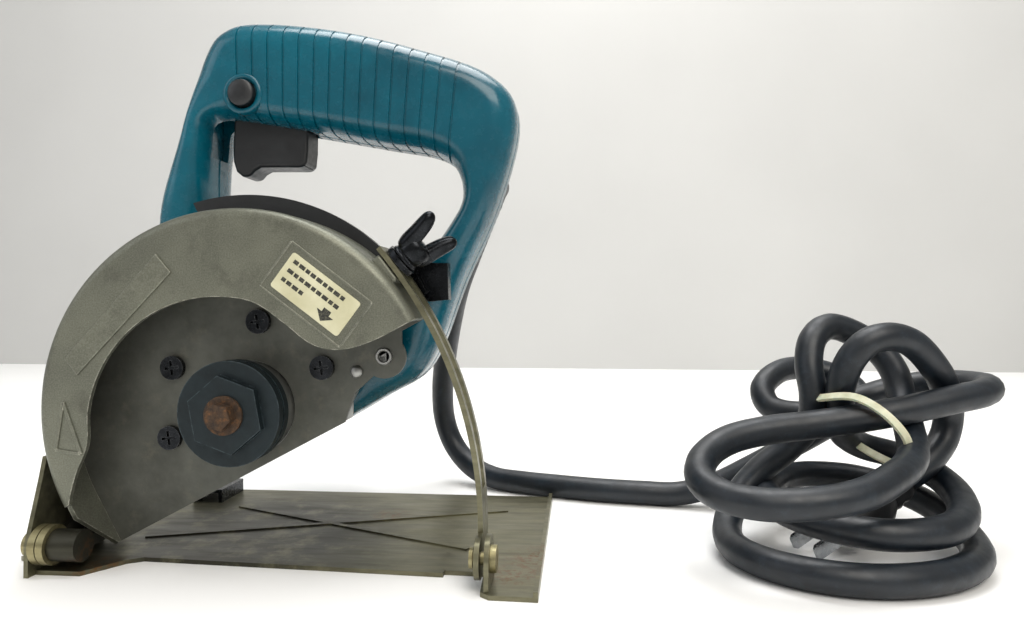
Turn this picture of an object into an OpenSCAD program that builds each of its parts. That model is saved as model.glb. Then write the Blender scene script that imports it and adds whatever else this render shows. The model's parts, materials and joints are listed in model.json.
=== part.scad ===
// Hand-held corded trim saw with a 125 mm blade seat, a hinged sole plate and a D-handle.
// +X points to the rear of the saw, +Y from the blade side to the motor side, +Z up.
// The sole rests on z = 0 and the origin is the middle of the sole.
// The saw is drawn as it stands: the head is tilted up on its depth pivot.
// Head parts are laid out level, at full depth of cut, about the depth pivot, and then tilted.

/* [Sole plate] */
// Length of the sole along the cut
base_l = 178; // [176:1:190]
// Distance from the origin to the far edge of the sole
base_far_y = 56; // [50:1:57]
// Thickness of the sole sheet
base_t = 1.6; // [1.2:0.1:1.7]
// Height of the pressed strengthening ribs
rib_h = 0.6; // [0.3:0.1:0.7]

/* [Head] */
// Outer radius of the blade case
case_r = 72; // [71:0.5:73]
// Wall thickness of the blade case
case_t = 1.6; // [1.2:0.1:2]
// Radius of the clearance circle cut in the front sheet of the blade case
case_window_r = 47.5; // [44:0.5:50]
// Outer radius of the motor housing
motor_r = 31; // [30:0.5:31.5]
// Distance from the blade case to the far end of the motor cover
motor_end_y = 70; // [66:1:80]

/* [Blade drive] */
// Diameter of the blade bore that the flanges centre
blade_bore_d = 20; // [18:1:22]
// Diameter of the clamping flanges
flange_d = 37; // [32:1:40]
// Teeth on the large gear
gear_teeth = 42; // [42]
// Teeth on the motor pinion
pinion_teeth = 9; // [9]
// Gear module
gear_module = 0.8; // [0.8]

/* [Handle] */
// Wall thickness of the handle shells
handle_wall = 3; // [2.5:0.1:3.5]
// Diameter of the lock button
button_d = 10; // [9:0.5:11]
// Travel of the lock button
button_travel = 2.5; // [2:0.1:3]

/* [Cord] */
// Diameter of the mains lead
cord_d = 11; // [9:0.5:11]

/* [Hidden] */
$fn = 64;

// Depth pivot: its x and z, with the axis along Y
pivot_x = -80;
pivot_z = 18;
// Tilt of the head as the saw stands
head_tilt = 28;

// Places along Y, from the blade side to the motor side
case_front_y = -53.5;
wall_y = -35.3;
wall_back_y = wall_y + case_t;
gear_cover_back_y = wall_back_y + 2;
gear_floor_y = -25;
housing_back_y = -23.7;
handle_near_y = -23.4;
handle_mid_y = -6.4;
handle_far_y = 10.6;
motor_front_y = -15.5;
motor_joint_y = 52;
blade_seat_y = -47;

// Level places about the depth pivot, [x, z]
spindle_at = [71.5, 5.5];
case_at = [73.6, 3.7];
gear_angle = 41.7;
gear_distance = gear_module * (gear_teeth + pinion_teeth) / 2;
motor_at = spindle_at + gear_distance * [cos(gear_angle), sin(gear_angle)];
case_bottom_z = -15.9;
ear_at = [125.5, -1.5];
case_screw_r = 32;
case_screw_angles = [0, 54, 125, 173];
label_at = [119.5, 27];
label_size = [29, 14];
label_turn = -65;
button_at = [121, 113];
cord_exit_at = [188, 42];
handle_screw_at = [[112, 126], [197, 70], [158, 16], [70, 84], [122, -8]];
cover_screw_angles = [45, 135, 225, 315];

// Depth guide, an arc about the depth pivot
guide_r = 147.6;
guide_t = 1.8;
guide_near_y = -49.5;
guide_w = 13;
guide_mid_y = guide_near_y + guide_w / 2;
bolt_angle = 9.4;
guide_top_angle = 40.2;
slot_w = 6.8;
clamp_bolt_r = 2;

// Bevel axis, along X
bevel_y = -54.5;
bevel_z = 10;
bevel_pin_r = 2.2;
flange_x = -base_l / 2;
bevel_slot_r = 29;
bevel_bolt_angle = 8;
bevel_bolt_r = 2.4;
tab_x = 71.2;
rivet_r = 2.2;
running_gap = 0.05;

// Outline of the D-handle and of its finger opening, [x, z]
handle_outline = [
    [112, -14.5], [134, -11.5], [161.5, 11.5], [186.5, 31], [209, 56.5], [207, 76], [187, 98.5],
    [165, 118.5], [141, 135.5], [126, 141.5], [112.5, 136.5], [89.5, 114], [66, 91], [54, 62],
    [50.5, 30], [58, -1], [80, -14]
];
finger_outline = [
    [87, 88], [97, 105], [106, 112], [129, 96], [158, 73], [174, 60], [179, 50], [176, 39],
    [166, 32], [150, 25], [134, 22], [123, 30], [114, 43], [101, 52], [88, 55.5], [79, 60], [79, 72]
];

// Route of the mains lead from the cord guard to the coil
guard_l = 38;
guard_aim = [-0.376, 0.573, -0.734];
cord_start = [52, 34, 115.4];
cord_route = [
    cord_start, [45, 45, 101], [39, 59, 84], [34, 73, 66], [31, 82, 50], [31, 87, 34],
    [36, 87, 20], [46, 82, 10], [59, 74, 6], [75, 67, 5.6], [93, 61, 5.6], [111, 56, 5.6],
    [130, 53, 5.6], [148, 51, 6]
];
coil_low_h = 24;
coil_mid_z = 66;
coil_top_z = 90;
coil_low_outline = [
    [148, 44], [148, 58], [170, 58], [205, 50], [238, 38], [252, 14], [253, -12], [243, -36],
    [222, -51], [190, -57], [165, -50], [152, -28], [151, 5]
];
coil_mid_outline = [
    [139, -36], [152, -55], [180, -59], [212, -44], [240, -12], [264, -2], [271, 20], [260, 42],
    [240, 66], [214, 77], [192, 70], [181, 52], [152, 0]
];
coil_top_outline = [
    [189, 12], [196, -8], [222, -9], [252, 4], [254, 18], [232, 30], [205, 30]
];
plug_at = [214, -4];

// ---- Helpers ----

// A closed smooth curve through the points, with steps pieces between neighbours
function smooth_closed(p, steps = 4) = [
    for (i = [0 : len(p) - 1], s = [0 : steps - 1])
        let (n = len(p), t = s / steps, a = p[(i + n - 1) % n], b = p[i], c = p[(i + 1) % n], d = p[(i + 2) % n])
            0.5 * (2 * b + (c - a) * t + (2 * a - 5 * b + 4 * c - d) * t * t
                + (3 * b - a - 3 * c + d) * t * t * t)
];

// An open smooth curve through the points
function smooth_open(p, steps) = concat([
    for (i = [0 : len(p) - 2], s = [0 : steps - 1])
        let (n = len(p), t = s / steps, a = p[max(i - 1, 0)], b = p[i], c = p[i + 1], d = p[min(i + 2, n - 1)])
            0.5 * (2 * b + (c - a) * t + (2 * a - 5 * b + 4 * c - d) * t * t
                + (3 * b - a - 3 * c + d) * t * t * t)
], [p[len(p) - 1]]);

// Head parts: level layout about the depth pivot, tilted to the standing pose
module on_head()
    translate([pivot_x, 0, pivot_z])
        rotate([0, -head_tilt, 0])
            children();

// Extrudes an [x, z] drawing from y0 to y1
module across(y0, y1)
    translate([0, y1, 0])
        rotate([90, 0, 0])
            linear_extrude(y1 - y0)
                children();

// Cylinder along Y between y0 and y1 about an [x, z] place
module rod_y(at, r, y0, y1)
    translate([at[0], y1, at[1]])
        rotate([90, 0, 0])
            cylinder(r = r, h = y1 - y0);

// Cylinder along X between x0 and x1 about a [y, z] place
module rod_x(at, r, x0, x1)
    translate([x0, at[0], at[1]])
        rotate([0, 90, 0])
            cylinder(r = r, h = x1 - x0);

// Extrudes a [y, z] drawing from x0 to x1
module along(x0, x1)
    translate([x0, 0, 0])
        rotate([90, 0, 90])
            linear_extrude(x1 - x0)
                children();

// Ball bearing along Y: two rings and a shield, as one closed ring
module bearing(at, bore_r, outer_r, y0, y1)
    difference() {
        rod_y(at, outer_r, y0, y1);
        rod_y(at, bore_r, y0 - 1, y1 + 1);
        for (y = [y0 - 1, y1 - 0.4])
            difference() {
                rod_y(at, outer_r - 1.2, y, y + 1.4);
                rod_y(at, bore_r + 1.2, y - 1, y + 2.4);
            }
    }

// Straight-flanked gear blank drawing with thin teeth that run with backlash
module gear_2d(teeth, root_part, tip_part, turn = 0) {
    pitch = 360 / teeth;
    pitch_r = gear_module * teeth / 2;
    root_r = pitch_r - 1.2 * gear_module;
    tip_r = pitch_r + 0.85 * gear_module;
    rotate(turn)
        polygon([
            for (i = [0 : teeth - 1], k = [0 : 3])
                let (part = [-root_part, -tip_part, tip_part, root_part][k],
                    r = [root_r, tip_r, tip_r, root_r][k],
                    a = i * pitch + part * pitch)
                    r * [cos(a), sin(a)]
        ]);
}

// Pan-head screw along Y with its head towards -Y
module pan_screw(at, head_y, head_r, shank_r, shank_l) {
    difference() {
        rod_y(at, head_r, head_y, head_y + 0.5 * head_r);
        translate([at[0], head_y, at[1]])
            for (a = [20, 110])
                rotate([0, a, 0])
                    cube([1.2 * head_r, 0.5 * head_r, 0.22 * head_r], center = true);
    }
    rod_y(at, shank_r, head_y + 0.5 * head_r, head_y + 0.5 * head_r + shank_l);
}

// Wing for a bolt or nut: two ears that stand out along +Z from a hub
module wings(hub_r, ear_r, ear_out, t)
    for (s = [-1, 1])
        difference() {
            translate([s * (hub_r + 0.6 * ear_r), -t / 2, ear_out])
                rotate([-90, 0, 0])
                    cylinder(r = ear_r, h = t);
            translate([0, 0, ear_out - 2 * ear_r - 2])
                cylinder(r = hub_r + 2 * ear_r, h = 2);
        }

// Cord tube: rings of sides points on the smooth route
module swept_tube(route, r, sides) {
    n = len(route);
    tangents = [for (i = [0 : n - 1])
        let (d = route[min(i + 1, n - 1)] - route[max(i - 1, 0)]) d / norm(d)];
    points = [for (i = [0 : n - 1], k = [0 : sides - 1])
        let (u0 = cross(tangents[i], [0, 1, 0]), u = u0 / norm(u0), v = cross(tangents[i], u),
            a = 360 * k / sides)
            route[i] + r * (cos(a) * u + sin(a) * v)];
    walls = [for (i = [0 : n - 2], k = [0 : sides - 1])
        let (k2 = (k + 1) % sides)
            [i * sides + k, (i + 1) * sides + k, (i + 1) * sides + k2, i * sides + k2]];
    start_cap = [for (k = [0 : sides - 1]) k];
    end_cap = [for (k = [sides - 1 : -1 : 0]) (n - 1) * sides + k];
    polyhedron(points = points, faces = concat(walls, [start_cap, end_cap]), convexity = 6);
}

// ---- Blade case ----

// Half disc above the level line through the arc's centre
module case_half_2d(r)
    intersection() {
        translate(case_at)
            circle(r);
        translate([case_at[0] - 2 * r, case_at[1]])
            square([4 * r, 2 * r]);
    }

// Motor-side wall of the blade case, with its ear
module case_wall_2d() {
    case_half_2d(case_r);
    polygon([
        [case_at[0] - case_r, case_at[1] + 1], [case_at[0] - case_r, case_bottom_z],
        [101, case_bottom_z], [110, -8], [118, -6], [133, -1], [136, 4.7]
    ]);
    translate(ear_at)
        circle(8);
}

// Front sheet: half disc less the flange window, with a drawn-out front tip
module case_front_2d() {
    corner_r = 9;
    corner_x = spindle_at[0] + 51;
    difference() {
        case_half_2d(case_r);
        translate([65.5, 1])
            circle(case_window_r);
        polygon([[1.6, 3], [19, 19.5], [24, 3]]);
        difference() {
            translate([105, 3])
                square([corner_x - 105, corner_r]);
            translate([corner_x, case_at[1] + corner_r])
                circle(corner_r);
        }
    }
}

// Bores through the case wall
module case_wall_bores() {
    // Bearing boss clearance
    rod_y(spindle_at, 17.6, wall_y - 1, wall_back_y + 1);
    // Fixing holes
    for (a = case_screw_angles)
        rod_y(spindle_at + case_screw_r * [cos(a), sin(a)], 2.6, wall_y - 1, wall_back_y + 1);
    // Spare hole in the ear
    rod_y(ear_at, 1.9, wall_y - 1, wall_back_y + 1);
}

module case_wall()
    color("#8f8b7c")
        on_head()
            difference() {
                across(wall_y, wall_back_y)
                    case_wall_2d();
                case_wall_bores();
            }

module rotation_arrow()
    across(case_front_y - 0.6, case_front_y + 0.4) {
        difference() {
            translate(case_at)
                circle(61);
            translate(case_at)
                circle(58.4);
            translate(case_at)
                rotate(168)
                    translate([-200, 0])
                        square([400, 200]);
            translate(case_at)
                rotate(148)
                    translate([-200, -200])
                        square([400, 200]);
        }
        translate(case_at)
            rotate(148)
                polygon([[54.7, 0], [64.7, 0], [59.7, -9]]);
    }

module blade_case()
    color("#8f8b7c")
        on_head()
            difference() {
                union() {
                    across(case_front_y, case_front_y + case_t)
                        case_front_2d();
                    across(case_front_y, wall_y)
                        difference() {
                            case_half_2d(case_r);
                            translate(case_at)
                                circle(case_r - case_t);
                        }
                    // Front leg of the rim, below the level line
                    translate([case_at[0] - case_r, wall_y - 16, case_bottom_z])
                        cube([case_t, 16, case_at[1] - case_bottom_z]);
                    // Threaded boss for the depth clamp bolt
                    rotate([0, -bolt_angle, 0])
                        translate([137, guide_near_y, -5.5])
                            cube([guide_r - 1.4 - 137, guide_w, 11]);
                    // Raised blank pad on the front sheet
                    across(case_front_y - 0.8, case_front_y + 0.4)
                        translate([76, 58])
                            rotate(4)
                                square([50, 8], center = true);
                    rotation_arrow();
                }
                // Slanted end of the front leg
                translate([0, case_front_y - 1, 3.7])
                    rotate([-48, 0, 0])
                        translate([-5, -30, -40])
                            cube([14, 60, 40]);
                // Shallow recess for the label
                across(case_front_y - 1, case_front_y + 0.4)
                    translate(label_at)
                        rotate(label_turn)
                            square(label_size + [3, 3], center = true);
                // Bore for the depth clamp bolt
                rotate([0, 90 - bolt_angle, 0])
                    translate([0, guide_mid_y, 132])
                        cylinder(r = clamp_bolt_r + running_gap, h = 20);
            }

module case_backing_plate()
    color("#1d2022")
        on_head()
            across(wall_back_y, wall_back_y + 3)
                intersection() {
                    difference() {
                        translate([72.5, 9.5])
                            circle(74.3);
                        translate([72.5, 9.5])
                            circle(63);
                    }
                    translate([88, 22])
                        square([80, 80]);
                }

module case_screws()
    color("#1b1b1c")
        on_head()
            for (a = case_screw_angles)
                pan_screw(spindle_at + case_screw_r * [cos(a), sin(a)], wall_y - 2.2, 4.4, 2.2, 8);

module blank_label()
    color("#ddd6ae")
        on_head()
            across(case_front_y + 0.15, case_front_y + 0.4)
                translate(label_at)
                    rotate(label_turn)
                        square(label_size, center = true);

// ---- Gear case ----

// Gear case drawing, cut level at the bottom to clear the sole
module gear_outline_2d(with_motor)
    intersection() {
        union() {
            translate(spindle_at)
                circle(36);
            if (with_motor)
                translate(motor_at)
                    circle(34);
        }
        translate([0, case_bottom_z + 0.4])
            square([160, 120]);
    }

module screw_bores(r, y0, y1)
    for (a = case_screw_angles)
        rod_y(spindle_at + case_screw_r * [cos(a), sin(a)], r, y0, y1);

module gear_cover()
    color("#9a9a98")
        on_head()
            difference() {
                union() {
                    across(wall_back_y, gear_cover_back_y)
                        gear_outline_2d(false);
                    rod_y(spindle_at, 17, -41, gear_cover_back_y);
                }
                rod_y(spindle_at, 14, -39.5, gear_cover_back_y + 1);
                rod_y(spindle_at, 8, -42, -38);
                screw_bores(2.6, wall_back_y - 1, gear_cover_back_y + 1);
            }

module gear_housing()
    color("#9a9a98")
        on_head()
            difference() {
                union() {
                    across(gear_cover_back_y, housing_back_y)
                        gear_outline_2d(true);
                    rod_y(spindle_at, 10, housing_back_y - 1, -17);
                    rod_y(motor_at, 13, housing_back_y - 1, -16);
                    // Arm to the depth pivot
                    across(gear_cover_back_y, gear_cover_back_y + 6)
                        polygon([[0, -4.2], [40, -13.5], [60, -15], [60, 20], [0, 4.2]]);
                    rod_y([0, 0], 4.2, gear_cover_back_y, gear_cover_back_y + 6);
                }
                rod_y(spindle_at, 18.2, gear_cover_back_y - 1, gear_floor_y);
                rod_y(motor_at, 6, gear_cover_back_y - 1, gear_floor_y);
                rod_y(spindle_at, 8, gear_floor_y - 0.5, -18);
                rod_y(motor_at, 11, -23, -15);
                rod_y(motor_at, 6.5, gear_floor_y - 0.5, -22);
                screw_bores(2.2, gear_cover_back_y - 1, gear_floor_y);
                rod_y([0, 0], 2 + running_gap, gear_cover_back_y - 1, housing_back_y);
            }

// Steel stay between the blade case and the handle
module case_stay()
    color("#202326")
        on_head() {
            across(wall_back_y, handle_near_y)
                translate([141, 12])
                    square([9, 9]);
            across(-29, handle_near_y - 0.2)
                polygon([[141, 12], [155, 6], [161, 18], [149, 25]]);
            across(wall_back_y, wall_back_y + 2.5)
                polygon([[128, 4], [136, 4], [150, 12], [150, 21], [128, 18]]);
        }

// ---- Handle ----

module handle_ring_2d(inset) {
    difference() {
        offset(r = -inset)
            polygon(smooth_closed(handle_outline));
        offset(r = inset)
            polygon(smooth_closed(finger_outline, 3));
    }
}

// One shell: y0 is its outer face and y1 the joint face
module handle_shell(outer_y, joint_y) {
    side = joint_y > outer_y ? 1 : -1;
    step_y = outer_y + side * 3.5;
    cavity_y = outer_y + side * handle_wall;
    low = min(step_y, joint_y);
    high = max(step_y, joint_y);
    difference() {
        union() {
            across(low, high)
                difference() {
                    polygon(smooth_closed(handle_outline));
                    polygon(smooth_closed(finger_outline, 3));
                }
            across(min(outer_y, step_y) - (side > 0 ? 0 : 0.1), max(outer_y, step_y) + (side > 0 ? 0.1 : 0))
                handle_ring_2d(3);
        }
        // Hollow inside, left solid round the screws and the motor
        across(min(cavity_y, joint_y + side), max(cavity_y, joint_y + side))
            difference() {
                handle_ring_2d(handle_wall + 3);
                translate(motor_at)
                    circle(motor_r + 5);
                for (at = handle_screw_at)
                    translate(at)
                        circle(4.5);
            }
        rod_y(motor_at, motor_r + 0.1, min(outer_y, joint_y) - 1, max(outer_y, joint_y) + 1);
        for (at = handle_screw_at)
            rod_y(at, 1.8, min(joint_y, cavity_y) - 1, max(joint_y, cavity_y) + 1);
        // Slot for the trigger
        across(-13.4, 0.6)
            rotate(-30)
                translate([29, 140])
                    square([43, 18.6]);
    }
}

module handle_left()
    color("#0f6973")
        on_head()
            difference() {
                union() {
                    handle_shell(handle_near_y, handle_mid_y);
                    // Raised collar round the lock button
                    rod_y(button_at, button_d / 2 + 2.6, handle_near_y - 1, handle_near_y + 4);
                }
                rod_y(button_at, button_d / 2 + 0.2, handle_near_y - 2, handle_near_y + 12.4);
            }

module handle_right()
    color("#0f6973")
        on_head()
            difference() {
                handle_shell(handle_far_y, handle_mid_y);
                rod_y(cord_exit_at, 6.1, handle_mid_y + 2, handle_far_y + 1);
                for (at = handle_screw_at)
                    rod_y(at, 3.4, handle_far_y - 2.4, handle_far_y + 1);
            }

module handle_screws()
    color("#8d8f90")
        on_head()
            for (at = handle_screw_at)
                mirror([0, 1, 0])
                    pan_screw(at, -handle_far_y + 0.4, 3.2, 1.7, 15);

module trigger()
    color("#141416")
        on_head()
            across(-12.8, 0)
                polygon(smooth_closed([
                    [100, 111.6], [98.5, 103], [97.5, 96], [101, 91.2], [106, 92.2], [109, 95], [116, 90.5],
                    [123.5, 84.5], [127.5, 88], [131, 94], [122, 99.4], [111, 105.8]
                ], 3));

module trigger_spring()
    color("#b0b3b5")
        on_head()
            rotate([0, 30, 0])
                translate([50, -6.4, 147.6])
                    difference() {
                        cylinder(r = 3, h = 10.3);
                        translate([0, 0, -1])
                            cylinder(r = 2.2, h = 13);
                    }

module switch_body()
    color("#2a2a2c")
        on_head()
            rotate([0, 30, 0])
                translate([40, -11, 158])
                    cube([30, 14, 14]);

module lock_button()
    color("#141416")
        on_head() {
            rod_y(button_at, button_d / 2, handle_near_y - 3.4, handle_near_y + 7);
            rod_y(button_at, 2, handle_near_y + 6.9, handle_near_y + 9);
        }

module lock_button_spring()
    color("#b0b3b5")
        on_head()
            difference() {
                rod_y(button_at, 3.6, handle_near_y + 7.2, handle_near_y + 12.1);
                rod_y(button_at, 2.8, handle_near_y + 6, handle_near_y + 14);
            }

// ---- Motor ----

module motor_housing()
    color("#0f6973")
        on_head()
            difference() {
                rod_y(motor_at, motor_r, motor_front_y, motor_joint_y);
                rod_y(motor_at, motor_r - 2.4, motor_front_y - 1, motor_joint_y + 1);
                for (s = [-1, 1])
                    translate([motor_at[0] + s * 25, 41, motor_at[1]])
                        rotate([0, s * 90, 0])
                            cylinder(r = 6, h = 10);
            }

module motor_end_cover()
    color("#0f6973")
        on_head()
            difference() {
                union() {
                    rod_y(motor_at, motor_r, motor_joint_y, motor_end_y - 6);
                    rod_y(motor_at, motor_r - 5, motor_end_y - 6.1, motor_end_y);
                }
                rod_y(motor_at, motor_r - 2.4, motor_joint_y - 1, motor_end_y - 8.4);
                rod_y(motor_at, motor_r - 7.4, motor_joint_y - 1, motor_end_y - 2.4);
                // Air slots round the end
                for (a = [0 : 30 : 330])
                    translate([motor_at[0], motor_end_y - 3, motor_at[1]])
                        rotate([0, a, 0])
                            translate([13, -4, -1.5])
                                cube([8, 8, 3]);
            }

module end_cover_screws()
    color("#8d8f90")
        on_head()
            for (a = cover_screw_angles)
                mirror([0, 1, 0])
                    pan_screw(motor_at + 18.5 * [cos(a), sin(a)], -motor_end_y - 1.4, 2.8, 1.6, 1);

module stator_core()
    color("#77797b")
        on_head()
            across(-2, 28)
                difference() {
                    translate(motor_at)
                        circle(motor_r - 2.6);
                    translate(motor_at)
                        circle(17);
                    for (s = [-1, 1])
                        translate(motor_at)
                            rotate(90)
                                translate([s * 15.5, 0])
                                    square([15, 26], center = true);
                }

module stator_windings()
    color("#b4693a")
        on_head()
            for (s = [-1, 1])
                across(-6.5, 32.5)
                    intersection() {
                        difference() {
                            translate(motor_at)
                                circle(22.5);
                            translate(motor_at)
                                circle(17.2);
                        }
                        translate(motor_at)
                            rotate(90)
                                translate([s * 15.5, 0])
                                    square([14.6, 25], center = true);
                    }

module fan_baffle()
    color("#2a2a2c")
        on_head()
            difference() {
                rod_y(motor_at, motor_r - 2.5, -8.6, -7);
                rod_y(motor_at, 23.5, -9, -6);
            }

module brush_holders()
    color("#9c7a2f")
        on_head()
            for (s = [-1, 1])
                translate([motor_at[0] + s * 11, 41, motor_at[1]])
                    rotate([0, s * 90, 0])
                        difference() {
                            translate([-4.6, -3.8, 0])
                                cube([9.2, 7.6, 13]);
                            translate([-3.1, -2.3, -1])
                                cube([6.2, 4.6, 15]);
                        }

module carbon_brushes()
    color("#3a3a3c")
        on_head()
            for (s = [-1, 1])
                translate([motor_at[0] + s * 9.4, 41, motor_at[1]])
                    rotate([0, s * 90, 0])
                        translate([-3, -2.2, 0])
                            cube([6, 4.4, 12]);

module brush_caps()
    color("#141416")
        on_head()
            for (s = [-1, 1])
                translate([motor_at[0] + s * 25, 41, motor_at[1]])
                    rotate([0, s * 90, 0])
                        difference() {
                            cylinder(r = 5.9, h = motor_r - 25 + 1.2);
                            translate([-4, -0.6, motor_r - 25])
                                cube([8, 1.2, 3]);
                        }

module spindle_bearings()
    color("#b9bcbe")
        on_head() {
            bearing(spindle_at, 6, 14, -39.5, -32);
            bearing(spindle_at, 4, 8, -24, -18.2);
        }

module armature_bearings()
    color("#b9bcbe")
        on_head() {
            bearing(motor_at, 4, 11, -23, -16.2);
            bearing(motor_at, 3.5, 9.5, 54, 60);
        }

module blank_nameplate()
    color("#c9ccce")
        on_head()
            across(motor_end_y, motor_end_y + 0.5)
                translate(motor_at)
                    square([20, 14], center = true);

// ---- Armature ----

module armature_shaft()
    color("#b9bcbe")
        on_head() {
            rod_y(motor_at, 2.3, -31.2, -24.5);
            rod_y(motor_at, 4 - running_gap, -24.5, 50);
            rod_y(motor_at, 3.5 - running_gap, 50, 60.5);
        }

module pinion()
    color("#a8abad")
        on_head()
            across(-31, -25.4)
                translate(motor_at)
                    difference() {
                        gear_2d(pinion_teeth, 0.27, 0.11, gear_angle + 180);
                        circle(2.3);
                    }

module armature_core()
    color("#77797b")
        on_head()
            across(-1, 27)
                translate(motor_at)
                    difference() {
                        circle(16);
                        circle(4);
                        for (a = [0 : 30 : 330])
                            rotate(a)
                                translate([12.5, -1])
                                    square([4, 2]);
                    }

module armature_windings()
    color("#b4693a")
        on_head()
            for (y = [[-6, -1], [27, 33]])
                difference() {
                    rod_y(motor_at, 13, y[0], y[1]);
                    rod_y(motor_at, 4, y[0] - 1, y[1] + 1);
                }

module commutator()
    color("#b87333")
        on_head()
            across(35.5, 47)
                translate(motor_at)
                    difference() {
                        circle(9);
                        circle(4);
                        for (a = [0 : 15 : 345])
                            rotate(a)
                                translate([8.4, -0.25])
                                    square([1, 0.5]);
                    }

module cooling_fan()
    color("#e8e4d6")
        on_head() {
            difference() {
                rod_y(motor_at, 22, -10.4, -9.2);
                rod_y(motor_at, 4, -11, -9);
            }
            difference() {
                rod_y(motor_at, 7, -14.6, -10.3);
                rod_y(motor_at, 4, -15, -10);
            }
            for (a = [0 : 30 : 330])
                translate([motor_at[0], 0, motor_at[1]])
                    rotate([0, a, 0])
                        translate([6, -14.2, -0.6])
                            cube([15.5, 4, 1.2]);
        }

// ---- Spindle ----

module spindle()
    color("#a8abad")
        on_head()
            difference() {
                union() {
                    rod_y(spindle_at, 6 - running_gap, -48.2, gear_floor_y - 0.3);
                    rod_y(spindle_at, 4 - running_gap, gear_floor_y - 0.4, -18.6);
                }
                rod_y(spindle_at, 2.5, -49, -34);
            }

module drive_gear()
    color("#8e9193")
        on_head()
            across(-30.8, -25.6)
                translate(spindle_at)
                    difference() {
                        gear_2d(gear_teeth, 0.27, 0.11, gear_angle + 180 / gear_teeth);
                        circle(6);
                    }

module inner_flange()
    color("#3b4348")
        on_head()
            difference() {
                union() {
                    rod_y(spindle_at, flange_d / 2, blade_seat_y, blade_seat_y + 3.6);
                    rod_y(spindle_at, blade_bore_d / 2, blade_seat_y - 1.2, blade_seat_y);
                    rod_y(spindle_at, 7.4, blade_seat_y + 3.5, -39.7);
                }
                rod_y(spindle_at, 6, blade_seat_y - 2, -39);
            }

module outer_flange()
    color("#2e363c")
        on_head()
            difference() {
                union() {
                    rod_y(spindle_at, flange_d / 2, blade_seat_y - 4.5, blade_seat_y - 1.2);
                    across(blade_seat_y - 7.5, blade_seat_y - 4.4)
                        translate(spindle_at)
                            rotate(12)
                                circle(r = 24 / sqrt(3), $fn = 6);
                }
                rod_y(spindle_at, 2.7, blade_seat_y - 9, blade_seat_y);
            }

module flange_bolt()
    color("#5a4632")
        on_head() {
            rod_y(spindle_at, 6.8, blade_seat_y - 8.5, blade_seat_y - 7.5);
            across(blade_seat_y - 12.6, blade_seat_y - 8.4)
                translate(spindle_at)
                    rotate(20)
                        circle(r = 8.2 / sqrt(3), $fn = 6);
            rod_y(spindle_at, 2.5, blade_seat_y - 8, -36);
        }

// ---- Bevel bracket ----

bevel_bolt_at = [
    bevel_y + bevel_slot_r * cos(bevel_bolt_angle),
    bevel_z + bevel_slot_r * sin(bevel_bolt_angle)
];
bracket_x = flange_x + 2;
lug_near_y = [wall_back_y + 0.3, gear_cover_back_y - 0.3];
lug_far_y = [gear_cover_back_y + 6.3, gear_cover_back_y + 8.3];

module bevel_bracket()
    color("#3a3c3a")
        difference() {
            union() {
                along(bracket_x, bracket_x + 1.6)
                    polygon([[-46.6, 4.4], [-17, 4.4], [-17, 20], [-32, 20], [-46.6, 11]]);
                // Foot bar, and its step to the pivot boss
                translate([bracket_x, -46.6, 4.4])
                    cube([8.1, 29.6, 5]);
                translate([bracket_x + 5.8, bevel_y, 4.6])
                    cube([2.3, 20, 4.8]);
                rod_x([bevel_y, bevel_z], 5.6, bracket_x + 5.8, bracket_x + 16);
                for (y = [lug_near_y, lug_far_y]) {
                    translate([bracket_x, y[0], 4.4])
                        cube([pivot_x - bracket_x, y[1] - y[0], 18.6]);
                    rod_y([pivot_x, pivot_z], 5, y[0], y[1]);
                }
            }
            rod_y([pivot_x, pivot_z], 2, lug_near_y[0] - 1, lug_far_y[1] + 1);
            rod_x([bevel_y, bevel_z], bevel_pin_r, bracket_x - 1, bracket_x + 13);
            rod_x(bevel_bolt_at, bevel_bolt_r, bracket_x - 1, bracket_x + 3);
        }

module depth_pivot_pin()
    color("#b0b3b5")
        union() {
            rod_y([pivot_x, pivot_z], 2, lug_near_y[0], lug_far_y[1]);
            rod_y([pivot_x, pivot_z], 3.6, lug_far_y[1], lug_far_y[1] + 1.6);
        }

module bevel_pivot_pin()
    color("#b8b199")
        union() {
            rod_x([bevel_y, bevel_z], bevel_pin_r, flange_x - 0.3, bracket_x + 13);
            rod_x([bevel_y, bevel_z], 4.4, flange_x - 2.2, flange_x - 0.3);
        }

module pivot_washers()
    color("#c2bb9c")
        for (x = [bracket_x, bracket_x + 3])
            difference() {
                rod_x([bevel_y, bevel_z], 7, x, x + 2.6);
                rod_x([bevel_y, bevel_z], bevel_pin_r, x - 1, x + 4);
            }

module bevel_stud()
    color("#b0b3b5")
        rod_x(bevel_bolt_at, bevel_bolt_r, flange_x - 11, bracket_x + 1.6);

module bevel_nut_washer()
    color("#b0b3b5")
        difference() {
            rod_x(bevel_bolt_at, 5.4, flange_x - 1.6, flange_x - 0.4);
            rod_x(bevel_bolt_at, bevel_bolt_r + running_gap, flange_x - 3, flange_x + 1);
        }

module bevel_wing_nut()
    color("#1b1b1c")
        difference() {
            union() {
                rod_x(bevel_bolt_at, 4.4, flange_x - 8.5, flange_x - 2);
                translate([flange_x, bevel_bolt_at[0], bevel_bolt_at[1]])
                    rotate([0, -90, 0])
                        rotate(50)
                            wings(2.6, 5, 11, 2);
            }
            rod_x(bevel_bolt_at, bevel_bolt_r + running_gap, flange_x - 20, flange_x + 1);
        }

// ---- Sole ----

module base_outline_2d()
    polygon([
        [flange_x, -57], [-71, -57], [-66, -50], [-62, -44], [-57, -41], [55, -46.5], [55, -44], [69, -44.6],
        [70, -62], [73, -64.5], [base_l / 2, -65], [base_l / 2, base_far_y], [flange_x, base_far_y]
    ]);

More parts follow.
